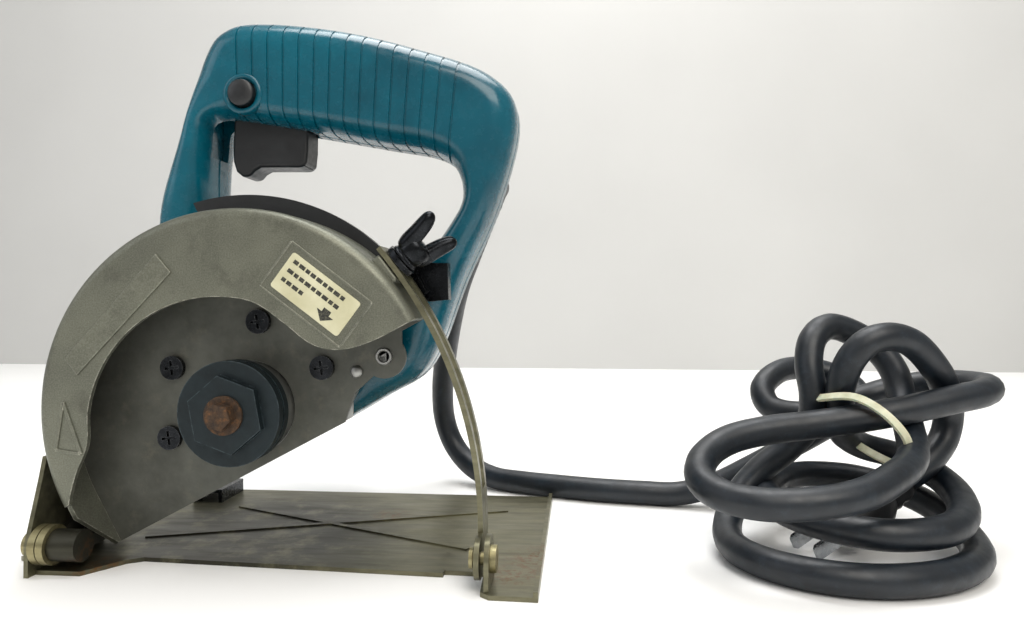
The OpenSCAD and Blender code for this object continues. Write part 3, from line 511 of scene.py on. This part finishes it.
def turned(profile, count=48):
    """Points and faces of a profile of (radius, height) turned about +Z."""
    verts = []
    faces = []
    for r, h in profile:
        verts += [(r * math.cos(2 * math.pi * k / count), r * math.sin(2 * math.pi * k / count), h)
                  for k in range(count)]
    for i in range(len(profile) - 1):
        for k in range(count):
            k2 = (k + 1) % count
            faces.append((i * count + k, i * count + k2, (i + 1) * count + k2, (i + 1) * count + k))
    faces.append(tuple(range(count)))
    faces.append(tuple(reversed(range((len(profile) - 1) * count, len(profile) * count))))
    return verts, faces


def slab(loop, y0, y1):
    """Points and faces of a 2D [x, z] loop drawn from y0 to y1."""
    n = len(loop)
    verts = [(p[0], y, p[1]) for y in (y0, y1) for p in loop]
    faces = [(i, (i + 1) % n, n + (i + 1) % n, n + i) for i in range(n)]
    faces += [tuple(range(n)), tuple(reversed(range(n, 2 * n)))]
    return verts, faces


def swept(points, sizes, way, count=16, power=1.0):
    """A closed bar along points. sizes are (half width, half thickness); way is the thickness axis."""
    verts = []
    faces = []
    n = len(points)
    points = [Vector(p) for p in points]
    for i, p in enumerate(points):
        run = (points[min(i + 1, n - 1)] - points[max(i - 1, 0)]).normalized()
        thick = (Vector(way) - run * run.dot(Vector(way))).normalized()
        wide = run.cross(thick)
        for k in range(count):
            a = 2 * math.pi * k / count
            c, s = math.cos(a), math.sin(a)
            c = math.copysign(abs(c) ** power, c)
            s = math.copysign(abs(s) ** power, s)
            verts.append(p + wide * c * sizes[i][0] + thick * s * sizes[i][1])
    for i in range(n - 1):
        for k in range(count):
            k2 = (k + 1) % count
            faces.append((i * count + k, i * count + k2, (i + 1) * count + k2, (i + 1) * count + k))
    faces += [tuple(reversed(range(count))), tuple(range((n - 1) * count, n * count))]
    return verts, faces


def together(*parts):
    """Several point and face lists as one."""
    verts = []
    faces = []
    for part_verts, part_faces in parts:
        start = len(verts)
        verts += [tuple(v) for v in part_verts]
        faces += [tuple(i + start for i in face) for face in part_faces]
    return verts, faces


def placed(part, matrix):
    """A part's points moved by a matrix."""
    return [matrix @ Vector(v) for v in part[0]], part[1]


def cut(obj, tool):
    """Takes tool's shape away from obj's mesh."""
    work = obj.modifiers.new("cut", "BOOLEAN")
    work.object = tool
    work.operation = "DIFFERENCE"
    work.solver = "EXACT"
    bpy.context.view_layer.update()
    depsgraph = bpy.context.evaluated_depsgraph_get()
    result = bpy.data.meshes.new_from_object(obj.evaluated_get(depsgraph))
    obj.modifiers.clear()
    obj.data = result
    bpy.data.objects.remove(tool)


# ---------------------------------------------------------------- cord

CORD_D = 11
GUARD_L = 38
GUARD_AIM = Vector((-0.376, 0.573, -0.734)).normalized()
LEAD_ROUTE = [
    (60, 22, 131), (52, 34, 115.4), (45, 45, 101), (39, 59, 84), (34, 73, 66), (31, 82, 50),
    (31, 87, 34), (36, 87, 20), (46, 82, 10), (59, 74, 6), (75, 67, 5.6), (93, 61, 5.6),
    (111, 56, 5.6), (130, 53, 5.6), (148, 51, 6), (164, 49, 11), (179, 48, 19), (194, 47, 28),
    (210, 48, 37), (225, 54, 45), (232, 63, 52), (226, 71, 59), (211, 72, 63), (197, 66, 62),
    (187, 57, 55), (189, 49, 47), (201, 45, 45), (214, 44, 48), (228, 44, 53), (241, 44, 57),
    (254, 39, 60), (263, 29, 61), (265, 16, 61), (258, 5, 60), (244, -1, 58), (228, -5, 55),
    (210, -8, 52), (191, -9, 49), (172, -12, 47), (157, -17, 44), (147, -25, 39), (144, -36, 34),
    (149, -46, 31), (161, -53, 30), (178, -54, 31), (194, -49, 33), (207, -39, 36),
    (217, -27, 38), (224, -14, 41), (229, 2, 47), (231, 13, 56), (231, 20, 66), (226, 24, 75),
    (216, 24, 82), (205, 21, 85), (197, 16, 80), (194, 11, 70), (195, 8, 58), (194, 9, 47),
    (186, 11, 36), (175, 10, 27), (165, 5, 17), (159, -6, 9), (158, -20, 6), (163, -34, 5.6),
    (174, -45, 5.6), (190, -51, 5.6), (208, -50, 5.6), (226, -42, 5.6), (240, -28, 6),
    (246, -9, 8), (245, 11, 12), (236, 26, 16), (221, 35, 19), (204, 36, 20), (190, 29, 20),
    (180, 16, 19), (176, 1, 18), (179, -14, 17), (186, -28, 17), (199, -38, 17), (213, -39, 17),
    (228, -33, 17.5), (239, -20, 19), (245, -3, 22), (244, 13, 26), (234, 24, 31), (220, 24, 35),
    (209, 16, 42), (205, 7, 52), (203, 0, 63), (205, -4, 73), (211, -5, 80), (220, -3, 82),
    (230, 1, 79), (240, 6, 70), (247, 11, 60), (250, 15, 50), (247, 13, 40), (238, 7, 32),
    (228, 3, 26),
]


def mains_lead():
    """One smooth spline with the sheath as its bevel."""
    line = bpy.data.curves.new("mains_lead", "CURVE")
    line.dimensions = "3D"
    line.bevel_depth = CORD_D / 2 * MM
    line.bevel_resolution = 6
    line.resolution_u = 8
    line.use_fill_caps = True
    spline = line.splines.new("BEZIER")
    spline.bezier_points.add(len(LEAD_ROUTE) - 1)
    n = len(LEAD_ROUTE)
    route = [Vector(p) * MM for p in LEAD_ROUTE]
    for i, point in enumerate(spline.bezier_points):
        pull = (route[min(i + 1, n - 1)] - route[max(i - 1, 0)]) / 6
        point.co = route[i]
        point.handle_left_type = point.handle_right_type = "FREE"
        point.handle_left = route[i] - pull
        point.handle_right = route[i] + pull
    obj = bpy.data.objects.new("mains_lead", line)
    bpy.context.scene.collection.objects.link(obj)
    line.materials.append(cord_sheath)
    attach(obj, "head")
    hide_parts("cord_lead", "cord_coil_low", "cord_coil_top")
    return obj


def cord_guard_piece():
    """Tapered rubber strain relief with rings round it, and its collar in the handle."""
    rings = 8
    profile = [(0.6, 0), (7.0, 0), (7.3, 0.5), (7.3, 4.4), (6.9, 5)]
    for i in range(rings):
        h = 6 + i * 4
        r = 7.3 - 0.07 * i
        profile += [(r - 0.7, h - 0.5), (r, h), (r + 0.1, h + 1.2), (r, h + 2.4), (r - 0.7, h + 2.9)]
    profile += [(CORD_D / 2 + 0.9, GUARD_L - 0.8), (CORD_D / 2 + 0.2, GUARD_L), (CORD_D / 2 - 0.6, GUARD_L)]
    aim = GUARD_AIM.to_track_quat("Z", "Y").to_matrix().to_4x4()
    root = Vector(LEAD_ROUTE[1]) - GUARD_AIM * GUARD_L + Vector((-1.6, 0, 0))
    sleeve = placed(turned(profile), ROW @ Matrix.Translation(root) @ aim)
    collar = turned([(0.5, -4), (6, -4), (6, 14), (0.5, 14)])
    exit_level = Vector((188, 0, 42))
    collar = placed(collar, HEAD @ Matrix.Translation(exit_level) @ Matrix.Rotation(-math.pi / 2, 4, "X"))
    verts, faces = together(sleeve, collar)
    return piece("strain_relief", verts, faces, Matrix.Identity(4), nylon, "head", "cord_rubber",
                 ["cord_guard"])


def mains_plug():
    """Moulded two-blade plug: a waisted body, a ribbed neck and two flat blades."""
    neck = Vector((227, 3.5, 25))
    nose = Vector((199, -8.5, 10.5))
    run = (nose - neck).normalized()
    stations = [(0.0, 5.8, 5.8), (0.1, 6.8, 6.6), (0.16, 6.2, 6.1), (0.24, 7.2, 6.9), (0.3, 6.8, 6.6),
                (0.42, 9.5, 7.8), (0.56, 11.2, 8.6), (0.72, 10.6, 8.4), (0.9, 11.6, 8.8), (1.0, 10.9, 8.2)]
    body = swept([neck.lerp(nose, t) for t, _, _ in stations], [(w, h) for _, w, h in stations],
                 (0, 0, 1), 28, 0.72)
    up = (Vector((0, 0, 1)) - run * run.z).normalized()
    side = run.cross(up)
    blades = [swept([nose + side * s * 6.35 + run * d for d in (-2, 0, 15.4, 16.6)],
                    [(3.1, 0.75), (3.1, 0.75), (3.1, 0.75), (2.1, 0.5)], side, 12, 0.3) for s in (-1, 1)]
    plug_body = piece("plug_body", *body, ROW, nylon, "head", "cord_rubber", ["plug"])
    prongs = piece("plug_blades", *together(*blades), ROW, bright_steel, "head", "bright_steel")
    return plug_body, prongs


def rubber_band_piece():
    """A flat latex band that gathers the loops of the lead."""
    ring = smooth_loop([(196, -2, 58), (204, -11, 59.5), (212, -16, 55), (218.5, -19.5, 47), (221, -17, 39),
                        (222, -6, 34), (220, 8, 34), (214, 17, 38), (206, 18, 46), (199, 12, 55)], 6)
    n = len(ring)
    middle = sum(ring, Vector()) / n
    verts = []
    faces = []
    section = [(1.6, 0.0), (1.4, 0.7), (-1.4, 0.7), (-1.6, 0.0), (-1.4, -0.7), (1.4, -0.7)]
    for i in range(n):
        run = (ring[(i + 1) % n] - ring[i - 1]).normalized()
        out = ring[i] - middle
        out = (out - run * out.dot(run)).normalized()
        wide = run.cross(out)
        verts += [ring[i] + wide * w + out * (t + 0.4) for w, t in section]
    sides = len(section)
    for i in range(n):
        for k in range(sides):
            j, k2 = (i + 1) % n, (k + 1) % sides
            faces.append((i * sides + k, i * sides + k2, j * sides + k2, j * sides + k))
    return piece("band", verts, faces, ROW, band_rubber, "head", "band_rubber", ["rubber_band"],
                 sharp=60)


lead = mains_lead()
strain_relief = cord_guard_piece()
plug_body, plug_blades = mains_plug()
band = rubber_band_piece()

# ---------------------------------------------------------------- handle

HANDLE_OUTLINE = [
    (112, -14.5), (134, -11.5), (161.5, 11.5), (186.5, 31), (209, 56.5), (207, 76), (187, 98.5),
    (165, 118.5), (141, 135.5), (126, 141.5), (112.5, 136.5), (89.5, 114), (66, 91), (54, 62),
    (50.5, 30), (58, -1), (80, -14),
]
FINGER_OUTLINE = [
    (87, 88), (97, 105), (106, 112), (129, 96), (158, 73), (174, 60), (179, 50), (176, 39),
    (166, 32), (150, 25), (134, 22), (123, 30), (114, 43), (101, 52), (88, 55.5), (79, 60), (79, 72),
]
HANDLE_NEAR_Y = -23.4
HANDLE_MID_Y = -6.4
HANDLE_FAR_Y = 10.6
MOTOR_AT = (86.73, 19.07)
MOTOR_BORE_R = 31.1
BUTTON_AT = (121, 113)
# How far each edge rounds, and its share of the handle where that is narrow
OUTER_ROUND, OUTER_SHARE = 9.5, 0.48
FINGER_ROUND, FINGER_SHARE = 7, 0.36
MOTOR_WALL = 1.6
ROUND_DEPTH = 11.5
SEAM_CHAMFER = 0.7
GRIP_TURN = math.radians(30)
# Turns a shape's own +Z to +Y
ALONG_Y = Matrix.Rotation(-math.pi / 2, 4, "X")
BUTTON_PLACE = HEAD @ Matrix.Translation((BUTTON_AT[0], HANDLE_NEAR_Y, BUTTON_AT[1])) @ ALONG_Y


def handle_half(name, face_y):
    """One closed half: seam chamfer, straight wall, elliptical round and flat outer face."""
    side = 1 if face_y > HANDLE_MID_Y else -1
    stations = [(SEAM_CHAMFER, HANDLE_MID_Y), (0.0, HANDLE_MID_Y + side * SEAM_CHAMFER)]
    stations += [(0.0, face_y - side * ROUND_DEPTH * 0.999)]
    straight = len(stations)
    steps = 9
    for i in range(1, steps + 1):
        a = math.pi / 2 * i / steps
        stations.append((1 - math.cos(a), face_y - side * ROUND_DEPTH * (1 - math.sin(a))))
    outer = smooth_loop(HANDLE_OUTLINE, 7)
    finger = smooth_loop(FINGER_OUTLINE, 6)
    bore = circle_loop(MOTOR_AT, MOTOR_BORE_R, 72)
    verts = []
    faces = []
    caps = []
    for loop, other, amount, share in ((outer, finger, OUTER_ROUND, OUTER_SHARE),
                                       (finger, outer, FINGER_ROUND, FINGER_SHARE)):
        rows = []
        rounds = [min(amount, (p - Vector(MOTOR_AT)).length - MOTOR_BORE_R - MOTOR_WALL,
                      share * min((p - q).length for q in other)) for p in loop]
        for i, (inset, y) in enumerate(stations):
            ring = moved_in(loop, [inset if i < straight else inset * most for most in rounds])
            rows.append([len(verts) + k for k in range(len(ring))])
            verts += [(p.x, y, p.y) for p in ring]
        for low, high in zip(rows, rows[1:]):
            for k in range(len(low)):
                k2 = (k + 1) % len(low)
                faces.append((low[k], low[k2], high[k2], high[k]))
        caps.append((rows[0], rows[-1]))
    rows = []
    for y in (HANDLE_MID_Y, face_y):
        rows.append([len(verts) + k for k in range(len(bore))])
        verts += [(p.x, y, p.y) for p in bore]
    for k in range(len(bore)):
        k2 = (k + 1) % len(bore)
        faces.append((rows[0][k], rows[0][k2], rows[1][k2], rows[1][k]))
    caps.append((rows[0], rows[1]))
    for end in (0, 1):
        loops = [pair[end] for pair in caps]
        flat = [[Vector((verts[i][0], verts[i][2], 0)) for i in loop] for loop in loops]
        order = [i for loop in loops for i in loop]
        faces += [tuple(order[i] for i in tri) for tri in tessellate_polygon(flat)]
    return piece(name, verts, faces, HEAD, teal, None, None)


def grip_points(points):
    """2D points in the axes of the grip, which runs 30 degrees down to the rear, brought to the head's."""
    c, s = math.cos(GRIP_TURN), math.sin(GRIP_TURN)
    return [Vector((x * c + z * s, -x * s + z * c)) for x, z in points]


def groove_grip(obj):
    """Recesses fine grooves across the grip, round its top and underside."""
    pitch, width, depth, count = 6, 0.9, 0.5, 15
    first, lower_end, grip_z = 45.5, 134.5, 163.5
    # The first groove leans back by this and the last forward, over half the grip's height
    lean_first, lean_change, lean_over = -1.6, 3.6, 29
    wall_slope, seam_gap = 0.12, 0.05
    c, s = math.cos(GRIP_TURN), math.sin(GRIP_TURN)

    def from_grip(x, z):
        return Vector((x * c + z * s, 0, -x * s + z * c))

    build = bmesh.new()
    build.from_mesh(obj.data)
    bmesh.ops.transform(build, matrix=HEAD.inverted(), verts=build.verts)

    def slice_at(point, normal):
        everything = build.verts[:] + build.edges[:] + build.faces[:]
        bmesh.ops.bisect_plane(build, geom=everything, dist=0.0005, plane_co=point, plane_no=normal)

    slice_at(from_grip(0, lower_end), from_grip(0, 1))
    for i in range(count):
        lean = (lean_first + lean_change * i / (count - 1)) / lean_over
        normal = from_grip(1, -lean).normalized()
        sides = [from_grip(first + i * pitch + shift, grip_z) for shift in (0, width)]
        for side in sides:
            slice_at(side, normal)
        floor = []
        for face in build.faces:
            middle = face.calc_center_median()
            if middle.x * s + middle.z * c < lower_end:
                continue
            if (middle - sides[0]).dot(normal) < 0 or (middle - sides[1]).dot(normal) > 0:
                continue
            if abs(middle.y - HANDLE_MID_Y) < seam_gap:
                continue
            floor.append(face)
        bmesh.ops.inset_region(build, faces=floor, thickness=wall_slope, depth=-depth, use_boundary=True)
    bmesh.ops.transform(build, matrix=HEAD, verts=build.verts)
    build.to_mesh(obj.data)
    build.free()


def handle_halves():
    """Both halves: the near one bored for the lock button, the far one for the cord, both slotted
    for the trigger and grooved."""
    # Each bore: the centre of its start, its radius and its length
    button_bore = ((BUTTON_AT[0], -30, BUTTON_AT[1]), 5.25, 19)
    cord_bore = ((188, HANDLE_MID_Y + 2, 42), 6.1, 30)
    slot = slab(grip_points([(29, 136), (72, 136), (72, 158.6), (29, 158.6)]), -13.4, 0.6)
    for name, face_y, node, (bore_at, bore_r, bore_l) in (
            ("handle_half_near", HANDLE_NEAR_Y, "handle_left", button_bore),
            ("handle_half_far", HANDLE_FAR_Y, "handle_right", cord_bore)):
        half = handle_half(name, face_y)
        at = Matrix.Translation(bore_at) @ ALONG_Y
        bore = placed(turned([(bore_r, 0), (bore_r, bore_l)]), at)
        cut(half, piece(name + "_bore", *bore, HEAD, teal, None, None))
        cut(half, piece(name + "_slot", *slot, HEAD, teal, None, None))
        groove_grip(half)
        half.data.shade_smooth()
        half.data.set_sharp_from_angle(angle=math.radians(32))
        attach(half, "head")
        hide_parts(node)


handle_halves()


def button_collar():
    """Raised ring moulded round the lock button."""
    profile = [(5.3, 2.4), (7.9, 2.4), (7.9, 0.4), (7.5, -0.5), (6.8, -0.9), (6.1, -0.8), (5.5, -0.2),
               (5.3, 0.6), (5.3, 2.4)]
    verts, faces = turned(profile, 56)
    open_ended = faces[:-2]
    piece("button_collar", verts, open_ended, BUTTON_PLACE, teal, "head", "teal_housing")


def lock_button_piece():
    """Domed push button on its stem."""
    radius = 5
    profile = [(0.05, -3.4)] + [(radius * math.sin(a), -2.2 - 1.2 * math.cos(a))
                                for a in (0.3, 0.6, 0.9, 1.15, 1.35, 1.5)]
    profile += [(radius, -1.6), (radius, 7), (2, 7), (2, 9), (0.05, 9)]
    piece("button_cap", *turned(profile), BUTTON_PLACE, nylon, "lock_button", "black_plastic",
          ["lock_button"])


def trigger_piece():
    """Squeeze trigger: a hanging front lobe, a finger hollow and a round rear end."""
    profile = [(39.8, 153.5), (39.5, 140), (39.8, 134.6), (41.2, 130.6), (44, 128.4), (47, 128.8),
               (48.8, 131), (51.2, 132.4), (60, 132.6), (67.8, 132.7), (69.8, 134.2), (70.2, 140),
               (70, 153.5)]
    piece("trigger_lever", *slab(grip_points(profile), -12.8, 0), HEAD, nylon, "trigger", "black_plastic",
          ["trigger"], bevel=1.5, segments=4)


button_collar()
lock_button_piece()
trigger_piece()

# ---------------------------------------------------------------- blade case

CASE_AT = Vector((73.6, 3.7))
CASE_R = 72
CASE_FRONT_Y = -53.5
WALL_Y = -35.3
CASE_T = 1.6
WINDOW_AT = Vector((65.5, 1))
WINDOW_R = 47.5
CASE_ROLL = 3.6
CASE_BOTTOM_Z = -15.9
BOLT_ANGLE = math.radians(9.4)
PAD_AT = (53, 53.5)
PAD_TURN = math.radians(19)
# In the row frame, in metres
EAR_HOLE_AT = (0.031514, 0.075594)
EAR_RIVET_AT = (0.0214, 0.0700)


def polar(centre, radius, degrees):
    """A 2D point at a radius and an angle from a centre."""
    a = math.radians(degrees)
    return Vector((centre[0] + radius * math.cos(a), centre[1] + radius * math.sin(a)))


def case_shell():
    """Front sheet, rolled edge and rim as one pressed skin, with the front leg of the rim."""
    arc = [180 * i / 96 for i in range(97)]
    profile = [(CASE_R - CASE_ROLL + CASE_ROLL * math.sin(math.pi / 12 * i),
                CASE_FRONT_Y + CASE_ROLL - CASE_ROLL * math.cos(math.pi / 12 * i)) for i in range(7)]
    profile.append((CASE_R, WALL_Y))
    verts = []
    faces = []
    for degrees in arc:
        for r, y in profile:
            p = polar(CASE_AT, r, degrees)
            verts.append((p.x, y, p.y))
    m = len(profile)
    for i in range(len(arc) - 1):
        for j in range(m - 1):
            faces.append((i * m + j, i * m + j + 1, (i + 1) * m + j + 1, (i + 1) * m + j))
    edge = [Vector((5.2, 3.7)), Vector((8.2, 7.4)), Vector((13.4, 12.6))]
    edge += [polar(WINDOW_AT, WINDOW_R, 157 - 14 * i) for i in range(9)]
    edge += [Vector(p) for p in ((105.3, 23), (108.9, 14.8), (113.4, 9.4), (120.4, 5.6), (129.8, 3.9),
                                 (138, 3.7))]
    rest = smooth_path(edge, 6)[1:]
    first = len(verts)
    verts += [(p.x, CASE_FRONT_Y, p.y) for p in rest]
    loop = [i * m for i in range(len(arc))] + [first + i for i in range(len(rest))]
    flat = [Vector((verts[i][0], verts[i][2], 0)) for i in loop]
    faces += [tuple(loop[i] for i in tri) for tri in tessellate_polygon([flat])]
    # Front leg, below the level line, with its slanted end
    leg_x = CASE_AT.x - CASE_R
    leg = [(-49.9, 3.7), (WALL_Y, 3.7), (WALL_Y, CASE_BOTTOM_Z), (-36.9, CASE_BOTTOM_Z), (-49.9, -1.4)]
    first = len(verts)
    verts += [(leg_x, y, z) for y, z in leg]
    faces.append(tuple(range(first, first + len(leg))))
    shell = piece("blade_case_shell", verts, faces, HEAD, case_paint, "head", "case_paint", ["blade_case"])
    wall = shell.modifiers.new("sheet", "SOLIDIFY")
    wall.thickness = CASE_T * MM
    wall.offset = -1
    round_edges(shell, 0.45, over_degrees=50)


def strip(points, width):
    """A 2D strip of a width along points."""
    points = [Vector(p) for p in points]
    n = len(points)
    left = []
    right = []
    for i, p in enumerate(points):
        run = (points[min(i + 1, n - 1)] - points[max(i - 1, 0)]).normalized()
        out = Vector((-run.y, run.x)) * width / 2
        left.append(p + out)
        right.append(p - out)
    return left + right[::-1]


LABEL_AT = Vector((119.5, 27))
LABEL_TURN = math.radians(-65)


def label_shape(points):
    """2D points in the label's own axes, brought to the head's."""
    c, s = math.cos(LABEL_TURN), math.sin(LABEL_TURN)
    return [LABEL_AT + Vector((x * c - z * s, x * s + z * c)) for x, z in points]


def case_embossing():
    """Raised plain shapes on the front sheet: a blank pad, an outlined triangle and the label's border."""
    c, s = math.cos(PAD_TURN), math.sin(PAD_TURN)
    pad = [Vector((PAD_AT[0] + x * c - z * s, PAD_AT[1] + x * s + z * c)) for x, z in
           ((-25, -3.2), (25, -4.2), (26, 4.2), (-24, 4.2))]
    triangle = [polar(CASE_AT, r, degrees) for r, degrees in ((66, 163), (57, 166), (62, 148), (66, 163))]
    w, h = 17.4, 9.4
    border = label_shape([(-w, -h), (-w, h), (w, h), (w, -h), (-w, -h)])
    sunk_y = CASE_FRONT_Y + 0.4
    shapes = [slab(pad, CASE_FRONT_Y - 0.7, sunk_y)]
    for line, width, height in ((triangle, 1.3, 0.55), (border, 0.9, 0.3)):
        for a, b in zip(line, line[1:]):
            shapes.append(slab(strip([a, b], width), CASE_FRONT_Y - height, sunk_y))
    piece("case_embossing", *together(*shapes), HEAD, case_paint, "head", "case_paint", bevel=0.35)


def clamp_boss():
    """Threaded boss inside the rim for the depth clamp."""
    block = slab([(137, -5.5), (147.2, -5.5), (147.2, 5.5), (137, 5.5)], -49.4, -36.6)
    turn = Matrix.Rotation(-BOLT_ANGLE, 4, "Y")
    piece("clamp_boss", *placed(block, turn), HEAD, case_paint, "head", "case_paint", bevel=1.2, segments=3)


def ear_pieces():
    """Cast collar round the hole of the case's ear, a black disc sunk in the hole as painted shade, and a
    round-headed rivet.
    """
    face_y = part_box("case_wall")[0].y
    to_front = Matrix.Rotation(math.pi / 2, 4, "X") @ Matrix.Scale(MM, 4)
    hole = Matrix.Translation((EAR_HOLE_AT[0], face_y, EAR_HOLE_AT[1])) @ to_front
    collar = turned([(2.0, -0.1), (2.0, 0.5), (2.2, 0.9), (2.8, 0.9), (3.1, 0.5), (3.2, -0.1)])
    piece("ear_collar", *collar, hole, cast, "head", "case_paint")
    # Painted shade: a black disc set into the hole so that it reads dark
    plug = turned([(0.02, -1.55), (1.88, -1.55), (1.88, -1.3), (1.5, -1.4), (0.02, -1.45)])
    piece("ear_hole_shade_disc", *plug, hole, nylon, "head", "black_plastic")
    rivet_at = Matrix.Translation((EAR_RIVET_AT[0], face_y, EAR_RIVET_AT[1])) @ to_front
    rivet = turned([(0.02, -0.2), (2.4, -0.2), (2.4, 0.3), (2.1, 1.0), (1.3, 1.5), (0.02, 1.7)])
    piece("ear_rivet", *rivet, rivet_at, cast, "head", "case_paint")


case_shell()
case_embossing()
clamp_boss()
ear_pieces()


def label_pieces():
    """Cream label with plain printed bars and a plain arrow."""
    # Half width and half height to the centres of the rounded corners, whose radius is 1
    w, h = 14.6 - 1, 7.1 - 1
    corners = []
    for cx, cz, start in ((w, h, 0), (-w, h, 90), (-w, -h, 180), (w, -h, 270)):
        corners += [polar((cx, cz), 1, start + 22.5 * i) for i in range(5)]
    film = slab(label_shape(corners), CASE_FRONT_Y - 0.35, CASE_FRONT_Y + 0.1)
    piece("label_film_sheet", *film, HEAD, label_film, "head", "label_film", ["blank_label"], bevel=0.1)
    ink_y = CASE_FRONT_Y - 0.42
    marks = []
    half_high, gap = 0.7, 0.55
    for row, bars in enumerate((9, 9, 4)):
        low, high = 4.6 - 3.6 * row - half_high, 4.6 - 3.6 * row + half_high
        x = -12.6
        for k in range(bars):
            end = x + (1.9, 2.3, 1.6)[(k + row) % 3]
            marks.append(slab(label_shape([(x, low), (end, low), (end, high), (x, high)]), ink_y,
                              ink_y + 0.15))
            x = end + gap
    arrow = [(5.2, -1.6), (8.2, -1.6), (8.2, -3.2), (10.2, -3.2), (6.7, -6.2), (3.2, -3.2), (5.2, -3.2)]
    marks.append(slab(label_shape(arrow), ink_y, ink_y + 0.15))
    piece("label_print", *together(*marks), HEAD, ink, "head", "label_film")


label_pieces()

# ---------------------------------------------------------------- wing bolt and wing nut


def winged(name, at, turn, size, shank_l, body, node):
    """A hub with two curved ears that lean outwards, and a shank if it has a length. Its axis is +Z."""
    hub = turned([(0.1, 0), (5.2, 0), (5.4, 0.3), (5.4, 1.0), (4.9, 1.3), (4.9, 1.9), (5.5, 2.3), (5.8, 4.4),
                  (5.7, 6.8), (5.0, 8.3), (3.6, 9.0), (0.1, 9.1)], 40)
    ears = []
    for s in (-1, 1):
        path = [(s * 2.8, 0, 2.2), (s * 3.7, 0, 4.6), (s * 4.3, 0.2 * s, 7.4), (s * 4.9, 0.5 * s, 10.4),
                (s * 5.6, 0.6 * s, 13.4), (s * 6.4, 0.6 * s, 16.2), (s * 6.9, 0.5 * s, 17.8),
                (s * 7.1, 0.5 * s, 18.6)]
        sizes = [(2.8, 3.0), (3.2, 3.5), (3.1, 3.4), (2.9, 3.2), (2.8, 3.0), (2.5, 2.7), (1.8, 1.9),
                 (0.6, 0.6)]
        ears.append(swept([Vector(p) * size for p in path], [(a * size, b * size) for a, b in sizes],
                          (0, 1, 0), 20, 0.8))
    parts = [hub] + ears
    if shank_l:
        parts.append(turned([(0.1, -shank_l), (SHANK_R, -shank_l), (SHANK_R, 0.5), (0.1, 0.5)], 32))
    obj = piece(name, *together(*parts), at @ Matrix.Rotation(turn, 4, "Z"), black_steel, body,
                "black_steel", [node])
    refine = obj.modifiers.new("smooth", "SUBSURF")
    refine.levels = refine.render_levels = 1


SHANK_R = 1.95
GUIDE_OUT = 147.6 + 1.8
GUIDE_MID_Y = -43.0
BOLT_WASHER_T = 2.4
NUT_GAP = 0.4
clamp_axis = HEAD @ Matrix.Rotation(math.pi / 2 - BOLT_ANGLE, 4, "Y")
winged("wing_bolt", clamp_axis @ Matrix.Translation((0, GUIDE_MID_Y, GUIDE_OUT + BOLT_WASHER_T)),
       math.radians(35), 1.0, 14, "depth_bolt", "depth_wing_bolt")
nut_low, nut_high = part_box("bevel_nut_washer")
nut_at = (nut_low + nut_high) / 2
nut_at.x = nut_low.x - NUT_GAP * MM
nut_axis = Matrix.Translation(nut_at) @ Matrix.Rotation(-math.pi / 2, 4, "Y") @ Matrix.Scale(MM, 4)
winged("wing_nut", nut_axis, math.radians(50), 0.9, 0, "bevel_nut", "bevel_wing_nut")

# ---------------------------------------------------------------- stage and light


def stage_plane(name, corners, dark, pale):
    """Plain paper sheet of the studio."""
    mesh = bpy.data.meshes.new(name)
    mesh.from_pydata(corners, [], [(0, 1, 2, 3)])
    obj = bpy.data.objects.new(name, mesh)
    bpy.context.scene.collection.objects.link(obj)
    m, s, place = new_material(name + "_paper", IOR=1.45)
    feed(m, s, Base_Color=ramp(m, grain(m, place, 300, 2), [(0.3, dark), (0.7, pale)]))
    s.inputs["Roughness"].default_value = 0.6
    mesh.materials.append(m)


BACK_Y = 0.74
FAR = 3
stage_plane("floor", [(-FAR, -FAR, 0), (FAR, -FAR, 0), (FAR, BACK_Y, 0), (-FAR, BACK_Y, 0)],
            "#f3f3f2", "#f8f8f7")
stage_plane("backdrop", [(-FAR, BACK_Y, 0), (FAR, BACK_Y, 0), (FAR, BACK_Y, FAR), (-FAR, BACK_Y, FAR)],
            "#c3c3c1", "#c9c9c7")


def softbox(name, at, target, size, power, tint):
    """A square soft light that faces a target."""
    data = bpy.data.lights.new(name, "AREA")
    data.size = size
    data.energy = power
    data.color = hex_linear(tint)[:3]
    obj = bpy.data.objects.new(name, data)
    bpy.context.scene.collection.objects.link(obj)
    obj.location = at
    obj.rotation_euler = (Vector(target) - Vector(at)).to_track_quat("-Z", "Y").to_euler()


softbox("key", (0.5, -0.85, 1.1), (0.02, 0, 0.05), 0.9, 13, "#fffaf2")
softbox("overhead", (0.1, 0.22, 1.2), (0.05, 0.05, 0.05), 0.8, 13, "#ffffff")
softbox("fill", (-1.1, -0.6, 0.8), (0, 0, 0.06), 0.9, 3, "#f2f6ff")
world = bpy.data.worlds.new("studio")
world.use_nodes = True
sky = world.node_tree.nodes["Background"].inputs
sky["Color"].default_value = hex_linear("#f6f4f0")
sky["Strength"].default_value = 0.42
bpy.context.scene.world = world
bpy.context.scene.view_settings.view_transform = "Standard"
